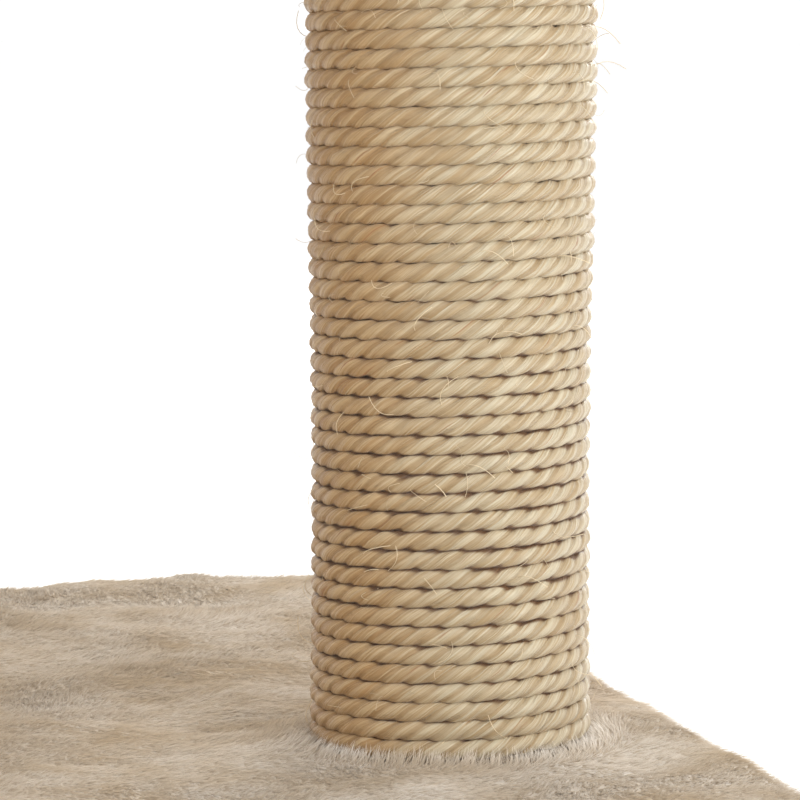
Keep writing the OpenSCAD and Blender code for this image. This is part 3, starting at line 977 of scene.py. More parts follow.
@dataclass(frozen=True)
class Strays:
    """Loose fibres that stand off a rope."""

    per_m2: float = 7600.0
    length: float = 8.0 * MM
    width: float = 0.16 * MM
    outer_share: float = 0.35
    seed: int = 5

    def grow(self, rope: bpy.types.Mesh) -> bpy.types.Mesh:
        """Grows the fibres on the rope's mesh and returns them as one mesh."""
        grower = Grower(
            "stray_fibres",
            {
                "Fibres per m2": ("Float", self.per_m2),
                "Length": ("Float", self.length),
                "Width": ("Float", self.width),
                "Seed": ("Int", self.seed),
                "Finish": ("Material", FIBRE.material()),
            },
        )
        graph, given = grower.graph, grower.inputs
        seed = given["Seed"]
        at = graph.add("GeometryNodeInputPosition")[0]
        facing = graph.add("GeometryNodeInputNormal")[0]
        outward = graph.vector("NORMALIZE", graph.vector("MULTIPLY", at, (1.0, 1.0, 0.0)))
        shows = graph.measure("DOT_PRODUCT", facing, outward)
        roots = grower.scatter(given["Fibres per m2"] * shows.above(self.outer_share))
        arc = graph.add(
            "GeometryNodeCurveQuadraticBezier",
            None,
            {
                "Resolution": 6,
                "Start": (0.0, 0.0, 0.0),
                "Middle": graph.combine(given["Length"] * 0.15, 0.0, given["Length"] * 0.45),
                "End": graph.combine(given["Length"] * 0.75, 0.0, given["Length"] * 0.30),
            },
        )
        inputs = {0: 3, "Radius": given["Width"] * 0.5}
        ring = graph.add("GeometryNodeCurvePrimitiveCircle", None, inputs)
        inputs = {0: arc[0], 1: ring[0], "Fill Caps": True}
        fibre = graph.add("GeometryNodeCurveToMesh", None, inputs)
        outwards = graph.scaled(roots["Normal"], 0.8)
        turn = graph.aim(graph.vector("ADD", outwards, graph.random_way(seed)))
        inputs = {"Axis": (0.0, 0.0, 1.0), "Angle": graph.random(0.0, 6.283, seed)}
        spin = graph.add("FunctionNodeAxisAngleToRotation", None, inputs)
        settings = {"rotation_space": "LOCAL"}
        turn = graph.add("FunctionNodeRotateRotation", settings, {0: turn, 1: spin[0]})[0]
        size = graph.random(0.25, 1.0, seed)
        scale = size * size * 1.6
        grower.plant(roots, fibre, turn, graph.combine(scale, scale, scale))
        return grower.grow(rope.copy())


# ---------------------------------------------------------------- cloth shells


def corner_arc(centre: Pair, radius: float, start: float, count: int) -> list[Edge]:
    """Points (x, y and a normal) on a quarter turn from that angle, without its last point."""
    found = []
    for k in range(count):
        angle = start + QUARTER * k / count
        nx, ny = math.cos(angle), math.sin(angle)
        found.append((centre[0] + radius * nx, centre[1] + radius * ny, nx, ny))
    return found


def weld(patches: list[Patch], gap: float = 0.01 * MM) -> bpy.types.Mesh:
    """Joins patches of quads into one closed mesh whose faces point outwards.

    Args:
        patches: Each patch's points and quads.
        gap: How near two points are to become one.

    Returns:
        The welded mesh.
    """
    points, quads, first = [], [], 0
    for place, faces in patches:
        points.append(place)
        quads.append(faces + first)
        first += len(place)
    data = mesh_from(np.concatenate(points), np.concatenate(quads))
    edit = bmesh.new()
    edit.from_mesh(data)
    bmesh.ops.remove_doubles(edit, verts=edit.verts, dist=gap)
    bmesh.ops.recalc_face_normals(edit, faces=edit.faces)
    edit.to_mesh(data)
    edit.free()
    data.update()
    return data


def raised(outline: np.ndarray, z: float) -> np.ndarray:
    """An outline's points at that height."""
    return np.column_stack([outline[:, 0], outline[:, 1], np.full(len(outline), z)])


def joined(loops: list[np.ndarray]) -> Patch:
    """The points and quads of a band through closed loops of equally many points."""
    return np.concatenate(loops), sheet_quads(len(loops), len(loops[0]), ring=True)


def sheet_quads(rows: int, columns: int, ring: bool = False) -> np.ndarray:
    """The quads between rows of points, whose columns close up into a ring or don't."""
    last = columns if ring else columns - 1
    j, i = np.meshgrid(np.arange(rows - 1), np.arange(last), indexing="ij")
    k = (i + 1) % columns
    here, above = j * columns, (j + 1) * columns
    return np.stack([here + i, above + i, above + k, here + k], axis=-1).reshape(-1, 4)


@dataclass(frozen=True)
class Press:
    """A round place where the pile is pressed down to a height."""

    x: float
    y: float
    radius: float
    height: float
    soft: float = 6.0 * MM

    def weight(self, points: np.ndarray) -> np.ndarray:
        """1 where the pile is pressed, 0 away from it."""
        far = np.hypot(points[:, 0] - self.x, points[:, 1] - self.y)
        return 1.0 - smooth_step(self.radius, self.radius + self.soft, far)


@dataclass(frozen=True)
class FramePress:
    """A rectangular frame where the pile is pressed down, such as under four walls."""

    low: Pair
    high: Pair
    inner_low: Pair
    inner_high: Pair
    height: float
    soft: float = 5.0 * MM

    def weight(self, points: np.ndarray) -> np.ndarray:
        """1 where the pile is pressed, 0 away from it."""
        x, y = points[:, 0], points[:, 1]
        low, high, inner_low, inner_high = self.low, self.high, self.inner_low, self.inner_high
        out = np.maximum.reduce([low[0] - x, x - high[0], low[1] - y, y - high[1]])
        into = np.minimum.reduce(
            [x - inner_low[0], inner_high[0] - x, y - inner_low[1], inner_high[1] - y]
        )
        return 1.0 - smooth_step(0.0, self.soft, np.maximum(out, into))


@dataclass
class Wrap:
    """Plush stretched over a board's top and sides, with its hem turned under."""

    low: Vector
    high: Vector
    corner: float
    skin: float = 2.4 * MM
    hem: float = 30.0 * MM
    hem_t: float = 1.4 * MM
    edge_r: float = 6.5 * MM
    low_edge_r: float = 3.0 * MM
    gap: float = 0.12 * MM
    cell: float = 6.0 * MM
    swell: float = 1.0 * MM
    seed: int = 11
    presses: list[Press | FramePress] = field(default_factory=list)

    def outline(self, out: float) -> np.ndarray:
        """The rounded rectangle moved out from the board's edge, as rows of x, y and a normal."""
        radius = self.corner + out
        half_x = (self.high.x - self.low.x) / 2 - self.corner
        half_y = (self.high.y - self.low.y) / 2 - self.corner
        mid_x, mid_y = (self.high.x + self.low.x) / 2, (self.high.y + self.low.y) / 2
        nx, ny, nc = self.counts()
        rows: list[Edge] = []
        for turn, (sx, sy) in enumerate(((1, -1), (1, 1), (-1, 1), (-1, -1))):
            centre = (mid_x + sx * half_x, mid_y + sy * half_y)
            start = (turn - 1) * math.pi / 2
            rows += corner_arc(centre, radius, start, 2 * nc)
            run, count = ((half_y, ny), (half_x, nx))[turn % 2]
            end = start + math.pi / 2
            normal = (math.cos(end), math.sin(end))
            way = (-normal[1], normal[0])
            edge = (centre[0] + radius * normal[0], centre[1] + radius * normal[1])
            for k in range(count):
                x = edge[0] + way[0] * 2 * run * k / count
                y = edge[1] + way[1] * 2 * run * k / count
                rows.append((x, y, *normal))
        return np.array(rows)

    def counts(self) -> tuple[int, int, int]:
        """Cells along the straight part of X, of Y, and over half a corner's arc."""
        size = self.high - self.low
        nx = max(4, round((size.x - 2 * self.corner) / self.cell))
        ny = max(4, round((size.y - 2 * self.corner) / self.cell))
        return nx, ny, max(2, round(self.corner / self.cell))

    def flat_grid(self, out: float, z: float) -> Patch:
        """A level patch that fills the outline moved out from the board's edge."""
        nx, ny, nc = self.counts()
        radius = self.corner + out

        def stations(low: float, high: float, count: int) -> list[Pair]:
            """(straight place, place in the corner square from -1 to 1) for each grid line."""
            head = [(low, (k - nc) / nc) for k in range(nc)]
            body = [(low + (high - low) * k / count, 0.0) for k in range(count + 1)]
            return head + body + [(high, (k + 1) / nc) for k in range(nc)]

        xs = stations(self.low.x + self.corner, self.high.x - self.corner, nx)
        ys = stations(self.low.y + self.corner, self.high.y - self.corner, ny)
        points = []
        for y, b in ys:
            for x, a in xs:
                far = max(abs(a), abs(b))
                share = min(abs(a), abs(b)) / far * math.pi / 4 if far else 0.0
                turn = share if abs(a) >= abs(b) else math.pi / 2 - share
                u = math.copysign(far * math.cos(turn), a)
                v = math.copysign(far * math.sin(turn), b)
                points.append((x + radius * u, y + radius * v, z))
        quads = sheet_quads(len(ys), len(xs))[:, ::-1]
        return np.array(points), quads

    def profile(self) -> list[Pair]:
        """(out, z) from the top's edge, over the side, round the hem and back inside."""
        top, foot = self.high.z, self.low.z
        rise, radius = self.skin, self.edge_r
        gap, under = self.gap, foot - self.hem_t
        rows = []
        for k in range(6):
            out, up = radius * math.sin(QUARTER * k / 5), radius * math.cos(QUARTER * k / 5)
            rows.append((rise - radius + out, top + rise - radius + up))
        low_r = min(self.low_edge_r, radius)
        rows.append((rise, (top + rise - radius + foot - self.hem_t + low_r) / 2))
        for k in range(4):
            out, down = low_r * math.cos(QUARTER * k / 3), low_r * math.sin(QUARTER * k / 3)
            rows.append((rise - low_r + out, under + low_r - down))
        for share in (0.35, 0.7, 1.0):
            rows.append((rise - low_r + (-self.hem - rise + low_r) * share, under))
        rows += [(out, foot - gap) for out in (-self.hem, -self.hem * 0.5, gap)]
        rows += [(out, top + gap) for out in (gap, rise - radius)]
        return rows

    def build(self) -> bpy.types.Mesh:
        """The cloth as a closed shell, with its pile's attributes."""
        rows = self.profile()
        sides = joined([raised(self.outline(out), z) for out, z in rows])
        data = weld([self.flat_grid(*rows[0]), self.flat_grid(*rows[-1]), sides], 0.02 * MM)
        self.settle(data)
        return data

    def settle(self, data: bpy.types.Mesh) -> None:
        """Swells the cloth in soft waves, presses it under what stands on it, stores its pile."""
        points, normals = points_of(data), normals_of(data)
        half = (self.high - self.low) / 2
        mid = (self.high + self.low) / 2
        out = np.maximum(abs(points[:, 0] - mid.x) - half.x, abs(points[:, 1] - mid.y) - half.y)
        above = smooth_step(0.6 * MM, 1.6 * MM, np.maximum(points[:, 2] - self.high.z, out))
        broad = Ripple(*BROAD, self.seed).at(points)
        fine = Ripple(*FINE, self.seed + 1).at(points)
        lift = above * self.swell * (broad * 0.8 + fine * 0.45)
        points = points + normals * lift[:, None]
        pressed = np.zeros(len(points))
        for press in self.presses:
            weight = press.weight(points) * above * (normals[:, 2] > 0.5)
            points[:, 2] += (press.height - points[:, 2]) * weight
            pressed = np.maximum(pressed, weight)
        move_points(data, points)
        hem_side = smooth_step(self.low.z - 0.5 * MM, self.low.z + 1.5 * MM, points[:, 2])
        store(data, "pile", above * hem_side * (1.0 - smooth_step(0.35, 0.8, pressed)))
        hem_height = 0.35 + 0.65 * smooth_step(self.low.z, self.low.z + 9.0 * MM, points[:, 2])
        store(data, "tall", (0.55 + 0.45 * smooth_step(0.9, 0.2, pressed)) * hem_height)
        store(data, "nap", nap_field(points, self.seed + 2))

    def declare(self, board: str) -> None:
        size = self.high - self.low
        extra = 2 * (size.z + self.hem)
        size.x + extra
        size.y + extra


def nap_field(points: np.ndarray, seed: int) -> np.ndarray:
    """Which way the brushed pile leans, in slow turns with patches stroked another way."""
    sweep, patch = Ripple(*SWEEP, seed).at(points), Ripple(*PATCH, seed + 1).at(points)
    angle = -1.15 + 0.30 * sweep + 0.28 * patch
    strength = 0.95 + 0.22 * Ripple(*STROKE, seed + 2).at(points)
    return np.stack([np.cos(angle) * strength, np.sin(angle) * strength, -0.35 * strength], axis=-1)


@dataclass
class DoorWall:
    """A closed shell of cloth round four walls, with a round door hole in its front."""

    mid: Pair
    low_z: float
    high_z: float
    door: Pair
    door_r: float
    outer: Triple
    inner: Triple
    cell: float = 8.5 * MM
    patch: float = 104.0 * MM
    patch_cells: int = 24
    door_rings: int = 4

    def columns(self, half_x: float, half_y: float, radius: float) -> np.ndarray:
        """The outline's points in plan, with the same counts as the outer one's."""
        rows: list[Edge] = []
        run_x, run_y = self.outer[:2]
        side = max(2, round((run_x - self.patch) / self.cell))
        depth = max(4, round(2 * run_y / self.cell))
        width = 2 * side + self.patch_cells
        inset_x, inset_y = half_x - radius, half_y - radius
        front = [-inset_x + (inset_x - self.patch) * k / side for k in range(side)]
        cells = self.patch_cells
        front += [-self.patch + 2 * self.patch * k / cells for k in range(cells)]
        front += [self.patch + (inset_x - self.patch) * k / side for k in range(side)]
        rows += [(x, -half_y, 0.0, -1.0) for x in front]
        rows += corner_arc((inset_x, -inset_y), radius, -math.pi / 2, 4)
        rows += [(half_x, -inset_y + 2 * inset_y * k / depth, 1.0, 0.0) for k in range(depth)]
        rows += corner_arc((inset_x, inset_y), radius, 0.0, 4)
        rows += [(inset_x - 2 * inset_x * k / width, half_y, 0.0, 1.0) for k in range(width)]
        rows += corner_arc((-inset_x, inset_y), radius, math.pi / 2, 4)
        rows += [(-half_x, inset_y - 2 * inset_y * k / depth, -1.0, 0.0) for k in range(depth)]
        rows += corner_arc((-inset_x, -inset_y), radius, math.pi, 4)
        found = np.array(rows)
        found[:, 0] += self.mid[0]
        found[:, 1] += self.mid[1]
        return found

    def heights(self) -> tuple[list[float], int]:
        """The rows' heights, and the number of rows under the door's patch."""
        low, high = self.door[1] - self.patch, self.door[1] + self.patch
        below = max(1, round((low - self.low_z) / self.cell))
        over = max(1, round((self.high_z - high) / self.cell))
        rows = [self.low_z + (low - self.low_z) * k / below for k in range(below)]
        rows += [low + (high - low) * k / self.patch_cells for k in range(self.patch_cells)]
        rows += [high + (self.high_z - high) * k / over for k in range(over + 1)]
        return rows, below

    def face(self, sizes: Triple) -> tuple[list[Patch], np.ndarray]:
        """One face of the shell.

        Args:
            sizes: Half the width, half the depth, and the corner's radius.

        Returns:
            The face's patches, and the points round its hole.
        """
        outline = self.columns(*sizes)
        heights, below = self.heights()
        columns, rows = len(outline), len(heights)
        points = np.array([(x, y, z) for z in heights for x, y, _, _ in outline])
        quads = sheet_quads(rows, columns, ring=True)
        side = max(2, round((self.outer[0] - self.patch) / self.cell))
        row, column = quads[:, 0] // columns, quads[:, 0] % columns
        cells = self.patch_cells
        hole = (row >= below) & (row < below + cells) & (column >= side) & (column < side + cells)
        patches = [(points, quads[~hole])]
        x0, x1 = side, side + cells
        z0, z1 = below, below + cells
        border = [(x, z0) for x in range(x0, x1)] + [(x1, z) for z in range(z0, z1)]
        border += [(x, z1) for x in range(x1, x0, -1)] + [(x0, z) for z in range(z1, z0, -1)]
        square = np.array([points[z * columns + x] for x, z in border])
        centre = np.array([self.door[0], square[0, 1], self.door[1]])
        way = square - centre
        circle = centre + way / np.linalg.norm(way, axis=1)[:, None] * self.door_r
        rings = self.door_rings
        loops = [square + (circle - square) * (k / rings) for k in range(rings + 1)]
        patches.append(joined(loops))
        return patches, circle

    def build(self) -> bpy.types.Mesh:
        """The shell as a closed mesh."""
        outside, hole_out = self.face(self.outer)
        inside, hole_in = self.face(self.inner)
        patches = outside + inside + [joined([hole_out, hole_in])]
        for z in (self.low_z, self.high_z):
            patches.append(joined([raised(self.columns(*s), z) for s in (self.outer, self.inner)]))
        return weld(patches)


def comb_to(
    data: bpy.types.Mesh,
    centre: Pair,
    radius: float,
    lean: float,
    reach: Pair = (3.0 * MM, 15.0 * MM),
) -> None:
    """Stands the pile up round a post and leans it towards the rope.

    Args:
        data: The skin.
        centre: The post's place in plan.
        radius: The post's radius.
        lean: How far the pile leans in.
        reach: How far from the post this starts to fade, and where it ends.
    """
    nap = np.empty(len(data.vertices) * 3, np.float32)
    data.attributes["nap"].data.foreach_get("vector", nap)
    nap = nap.reshape(-1, 3)
    inward = np.array([*centre, 0.0]) - points_of(data) * (1.0, 1.0, 0.0)
    far = np.linalg.norm(inward, axis=1)
    weight = 1.0 - smooth_step(radius + reach[0], radius + reach[1], far)
    inward /= np.maximum(far, 1e-6)[:, None]
    nap += (inward * lean - nap) * weight[:, None]
    data.attributes["nap"].data.foreach_set("vector", nap.ravel())


@dataclass(frozen=True)
class Fleece:
    """A share of a cloth's pile: where it grows, and with what hairs."""

    name: str
    pile: Pile
    share: Share = lambda points: np.ones(len(points))

    def make(self, skin: bpy.types.Mesh, slot: Slot = Slot.PLUSH) -> bpy.types.Object:
        """Grows this share on the skin and returns it as a piece."""
        ground = skin.copy()
        stored = ground.attributes["pile"].data
        weights = np.empty(len(ground.vertices), np.float32)
        stored.foreach_get("value", weights)
        weights = weights * self.share(points_of(ground))
        stored.foreach_set("value", weights.astype(np.float32))
        return make_piece(self.name, self.pile.grow(ground), PILE, slot, smooth=False)


def dress_skin(data: bpy.types.Mesh, pile: np.ndarray, seed: int) -> None:
    """Stores a skin's pile, its full height and its nap."""
    store(data, "pile", pile)
    store(data, "tall", np.ones(len(pile)))
    store(data, "nap", nap_field(points_of(data), seed))


def swell(data: bpy.types.Mesh, amount: float, seed: int, weight: np.ndarray | float = 1.0) -> None:
    """Moves a skin out and in along its normals in soft waves."""
    points, normals = points_of(data), normals_of(data)
    broad, fine = Ripple(*BROAD, seed).at(points), Ripple(*FINE, seed + 1).at(points)
    wave = broad * 0.8 + fine * 0.4
    move_points(data, points + normals * (wave * amount * weight)[:, None])


def under_cloth(low: Vector, high: Vector, corner: float, holes: list[Triple]) -> bpy.types.Mesh:
    """A thin cloth under a board, with round holes for the washers.

    Args:
        low: The cloth's lowest corner.
        high: Its highest corner.
        corner: Its corner radius.
        holes: Each hole's x, y and radius.

    Returns:
        The cloth as a closed mesh.
    """
    wrap = Wrap(low, high, corner, cell=12.0 * MM)
    grids = [wrap.flat_grid(0.0, z) for z in (low.z, high.z)]
    rims = [raised(wrap.outline(0.0), z) for z in (low.z, high.z)]
    cloth = linked("cloth", weld([*grids, joined(rims)]))
    cutters = []
    for x, y, radius in holes:
        edit = bmesh.new()
        bmesh.ops.create_cone(
            edit,
            cap_ends=True,
            segments=40,
            radius1=radius,
            radius2=radius,
            depth=20.0 * MM,
            matrix=Matrix.Translation((x, y, low.z)),
        )
        cutter_data = bpy.data.meshes.new("cutter")
        edit.to_mesh(cutter_data)
        edit.free()
        cutters.append(linked("cutter", cutter_data))
        cut = cloth.modifiers.new("hole", "BOOLEAN")
        cut.operation, cut.object, cut.solver = "DIFFERENCE", cutters[-1], "EXACT"
    made = evaluated(cloth)
    for thing in (cloth, *cutters):
        bpy.data.objects.remove(thing)
    return made


# ---------------------------------------------------------------- the tree's parts


def band(low: float, high: float, soft: float, axis: int) -> Share:
    """A share that is 1 between two places along an axis and 0 away from them."""

    def share(points: np.ndarray) -> np.ndarray:
        """The share at each point."""
        value = points[:, axis]
        past_high = smooth_step(high - soft, high + soft, value)
        return smooth_step(low - soft, low + soft, value) * (1.0 - past_high)

    return share


def both(*shares: Share) -> Share:
    """The product of several shares."""
    return lambda points: np.prod([share(points) for share in shares], axis=0)


def rest(share: Share) -> Share:
    """What another share leaves."""
    return lambda points: 1.0 - share(points)


@dataclass
class Base:
    """The floor board in its plush, with staples and feet."""

    corner: float = 25.0 * MM
    seat: float = 20.5 * MM
    post_r: float = 42.0 * MM
    close_per_m2: float = 1.3e6
    wide_per_m2: float = 1.4e5
    close_from: Pair = (76.0 * MM, -200.0 * MM)
    cuts: Pair = (-35.0 * MM, 110.0 * MM)
    walls_t: float = 4.0 * MM

    def build(self) -> None:
        low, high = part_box("base_board")
        post_low, post_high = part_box("lower_post_tube")
        walls_low, walls_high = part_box("condo_cover")
        room_low, room_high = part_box("condo_lining")
        middle = (post_low + post_high) / 2
        pressed_z = self.seat - 0.2 * MM
        under_post = Press(middle.x, middle.y, self.post_r - 6.0 * MM, pressed_z, 7.0 * MM)
        under_walls = FramePress(
            (walls_low.x, walls_low.y),
            (walls_high.x, walls_high.y),
            (room_low.x + self.walls_t, room_low.y + self.walls_t),
            (room_high.x - self.walls_t, room_high.y - self.walls_t),
            pressed_z,
        )
        presses = [under_post, under_walls]
        wrap = Wrap(low, high, self.corner, cell=6.5 * MM, seed=21, presses=presses)
        skin = wrap.build()
        comb_to(skin, (middle.x, middle.y), self.post_r, 0.55)
        near = both(*(band(self.close_from[axis], 1.0, 4.0 * MM, axis) for axis in (0, 1)))
        thirds = [-1.0, *self.cuts, 1.0]
        close = Pile(per_m2=self.close_per_m2, width=0.27 * MM, seed=31)
        wide = replace(WIDE, per_m2=self.wide_per_m2, length=6.5 * MM, seed=37)
        parts = [Fleece("base_pile_left", wide, rest(near))]
        for k, name in enumerate(("front", "middle", "back")):
            here = both(near, band(thirds[k], thirds[k + 1], 3.0 * MM, 1))
            parts.append(Fleece(f"base_pile_{name}", replace(close, seed=close.seed + k), here))
        piles = [part.make(skin) for part in parts]
        cover = make_piece("base_plush", skin, PLUSH, Slot.PLUSH)
        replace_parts(cover, "base_cover")
        wrap.declare("base_board")


@dataclass
class Post:
    """A post's sisal: rope wound in close turns on its tube, with a few loose fibres."""

    node: str
    name: str
    split: int = 0
    rope_d: float = 6.0 * MM
    pulled: float = 0.925
    plump: float = 0.22 * MM
    corners: int = 15
    ring: float = 1.75 * MM
    seed: int = 3

    def build(self) -> None:
        """Winds the rope in one or two pieces and adds its fibres."""
        low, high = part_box(self.node)
        tube_r = (high.x - low.x) / 2 - self.rope_d
        length = high.z - low.z
        pitch = length / round(length / (self.rope_d * self.pulled))
        rope_r = self.rope_d / 2 + self.plump
        turns = (length - 2 * rope_r) / pitch
        winding = Winding(
            tube_r,
            self.rope_d / 2,
            pitch,
            swell=self.plump,
            corners=self.corners,
            ring=self.ring,
            seed=self.seed,
        )
        middle = ((low.x + high.x) / 2, (low.y + high.y) / 2)
        foot = Matrix.Translation((*middle, low.z + rope_r))
        ends = [0.0, *([float(self.split)] if self.split else []), turns]
        ropes, fibres = [], []
        for k, (first, last) in enumerate(zip(ends, ends[1:])):
            rope = winding.wind(first, last - first)
            strays = Strays(seed=self.seed + k).grow(rope)
            for data in (rope, strays):
                data.transform(foot)
            suffix = ("", "_upper")[k]
            ropes.append(make_piece(f"{self.name}_rope{suffix}", rope, SISAL, Slot.SISAL))
            fibres.append(make_piece(f"{self.name}_fibres{suffix}", strays, FIBRE, Slot.SISAL))
        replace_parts(ropes[0], self.node)


@dataclass
class Condo:
    """The house's plush outside and lining, and the bead round its door."""

    skin: float = 2.6 * MM
    lining_t: float = 3.0 * MM
    corner: float = 3.0 * MM
    bead_r: float = 6.0 * MM
    sleeve: float = 3.0 * MM
    edge_soft: float = 8 * MM
    per_m2: float = 8.5e4
    lining_per_m2: float = 4.5e4

    def build(self) -> None:
        """Makes the two cloths and the bead."""
        low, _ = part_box("condo_left")
        _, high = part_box("condo_right")
        front_low, front_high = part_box("condo_front")
        _, back_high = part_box("condo_back")
        trim_low, trim_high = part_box("condo_door_trim")
        wall = front_high.y - front_low.y
        half_x, half_y = (high.x - low.x) / 2, (back_high.y - front_low.y) / 2
        mid = ((low.x + high.x) / 2, (front_low.y + back_high.y) / 2)
        door = ((trim_low.x + trim_high.x) / 2, (trim_low.z + trim_high.z) / 2)
        door_r = (trim_high.x - trim_low.x) / 2 - self.bead_r
        gap = 0.1 * MM
        inner_x, inner_y = half_x - wall - gap, half_y - wall - gap
        outer_row = ((half_x, half_y), gap, self.skin, self.corner, Slot.PLUSH, 51)
        inner_row = ((inner_x, inner_y), -self.lining_t, -gap, 2 * MM, Slot.LINING, 57)
        rows = (
            ("condo_plush", "condo_cover", *outer_row),
            ("condo_lining_plush", "condo_lining", *inner_row),
        )
        for name, node, (x, y), inside, outside, corner, slot, seed in rows:
            outer = (x + outside, y + outside, corner)
            inner = (x + inside, y + inside, max(corner + inside - outside, 0.8 * MM))
            shell = DoorWall(mid, low.z, high.z, door, door_r - gap, outer, inner).build()
            points = points_of(shell)
            face_x, face_y, _ = outer if slot is Slot.PLUSH else inner
            far_x, far_y = abs(points[:, 0] - mid[0]) - face_x, abs(points[:, 1] - mid[1]) - face_y
            shows = 1.0 - smooth_step(0.3 * MM, 1.2 * MM, abs(np.maximum(far_x, far_y)))
            door_far = np.hypot(points[:, 0] - door[0], points[:, 2] - door[1])
            front = points[:, 1] < mid[1] - half_y + 0.1
            clear = smooth_step(door_r + 1 * MM, door_r + 6 * MM, door_far)
            shows = shows * np.where(front, clear, 1.0)
            z, soft = points[:, 2], self.edge_soft
            edge = smooth_step(low.z, low.z + soft, z) * smooth_step(high.z, high.z - soft, z)
            swell(shell, 0.9 * MM, seed, shows * edge)
            dress_skin(shell, shows, seed + 2)
            wide = replace(WIDE, per_m2=self.per_m2, width=0.95 * MM, seed=seed)
            if slot is Slot.LINING:
                wide = replace(wide, per_m2=self.lining_per_m2, length=4.5 * MM)
            pile = Fleece(name + "_pile", wide).make(shell, slot)
            cloth = make_piece(name, shell, PLUSH, slot)
            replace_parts(cloth, node)
            around = 4 * (x + y)
            around * (high.z - low.z) - math.pi * door_r**2
        self.bead(door, door_r, trim_low.y + self.bead_r, trim_high.y - self.bead_r)

    def bead(self, door: Pair, door_r: float, front: float, back: float) -> None:
        """Makes the sleeve through the door hole with its round beads, and their pile."""
        radius = self.bead_r * 0.92
        bore = door_r - self.sleeve
        half_turn = [math.pi * k / 12 for k in range(13)]
        rows = [(door_r + radius * math.cos(a), front - radius * math.sin(a)) for a in half_turn]
        rows += [(bore - 1.2 * MM, front + 2.5 * MM), (bore, front + 5 * MM), (bore, back - 5 * MM)]
        rows.append((bore - 1.2 * MM, back - 2.5 * MM))
        rows += [(door_r - radius * math.cos(a), back + radius * math.sin(a)) for a in half_turn]
        rows += [(door_r + 0.05 * MM, back - 0.1 * MM), (door_r + 0.05 * MM, front + 0.1 * MM)]
        count = 120
        around = [
            np.column_stack(
                [
                    [door[0] + r * math.cos(2 * math.pi * k / count) for r, _ in rows],
                    [y for _, y in rows],
                    [door[1] + r * math.sin(2 * math.pi * k / count) for r, _ in rows],
                ]
            )
            for k in range(count)
        ]
        points = np.concatenate(around + around[:1])
        data = weld([(points, sheet_quads(count + 1, len(rows), ring=True))])
        swell(data, 0.5 * MM, 63)
        points = points_of(data)
        far = np.hypot(points[:, 0] - door[0], points[:, 2] - door[1])
        within = (points[:, 1] > front - 0.5 * MM) & (points[:, 1] < back + 0.5 * MM)
        hidden = smooth_step(door_r - 0.8 * MM, door_r - 0.2 * MM, far) * within
        dress_skin(data, 1.0 - hidden, 66)
        short = Pile(per_m2=2.6e5, width=0.7 * MM, length=4.0 * MM, clump=0.6, seed=67)
        Fleece("condo_door_bead_pile", short).make(data)
        bead = make_piece("condo_door_bead", data, PLUSH, Slot.PLUSH)
        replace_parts(bead, "condo_door_trim")


@dataclass
class Deck:
    """A raised board: plush over the top and sides, and a plain cloth under it."""

    name: str
    board: str
    cover: str
    corner: float
    per_m2: float
    seed: int
    hem: float = 26.0 * MM
    under_t: float = 0.7 * MM
    under_in: float = 12.0 * MM
    hem_t: float = 0.75 * MM
    washer_r: float = 12.5 * MM
    dimples: list[Pair] = field(default_factory=list)
    posts: list[Pair] = field(default_factory=list)
    holes: list[Pair] = field(default_factory=list)
    post_r: float = 42.0 * MM

    def build(self) -> None:
        """Makes the plush, its pile and the cloth underneath."""
        low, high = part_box(self.board)
        post_z, washer_z = high.z + 1.3 * MM, high.z + 0.3 * MM
        presses = [Press(x, y, self.post_r - 2.0 * MM, post_z, 7.0 * MM) for x, y in self.posts]
        presses += [Press(x, y, self.washer_r, washer_z, 5.0 * MM) for x, y in self.dimples]
        wrap = Wrap(low, high, self.corner, cell=8.0 * MM, seed=self.seed, presses=presses)
        wrap.hem, wrap.hem_t = self.hem, self.hem_t
        skin = wrap.build()
        wide = replace(WIDE, per_m2=self.per_m2, length=6.2 * MM, seed=self.seed)
        pile = Fleece(f"{self.name}_pile", wide).make(skin)
        cover = make_piece(f"{self.name}_plush", skin, PLUSH, Slot.PLUSH)
        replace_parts(cover, self.cover)
        wrap.declare(self.board)
        inset = Vector((self.under_in, self.under_in, 0.0))
        cloth_low = low + inset
        cloth_low.z = low.z - 2 * self.hem_t
        cloth_high = high - inset
        cloth_high.z = cloth_low.z + self.under_t
        holes = [(x, y, self.washer_r) for x, y in self.holes]
        data = under_cloth(cloth_low, cloth_high, self.corner - self.under_in / 2, holes)
        cloth = make_piece(f"{self.name}_under_cloth", data, CLOTH, Slot.PLUSH, smooth=False)


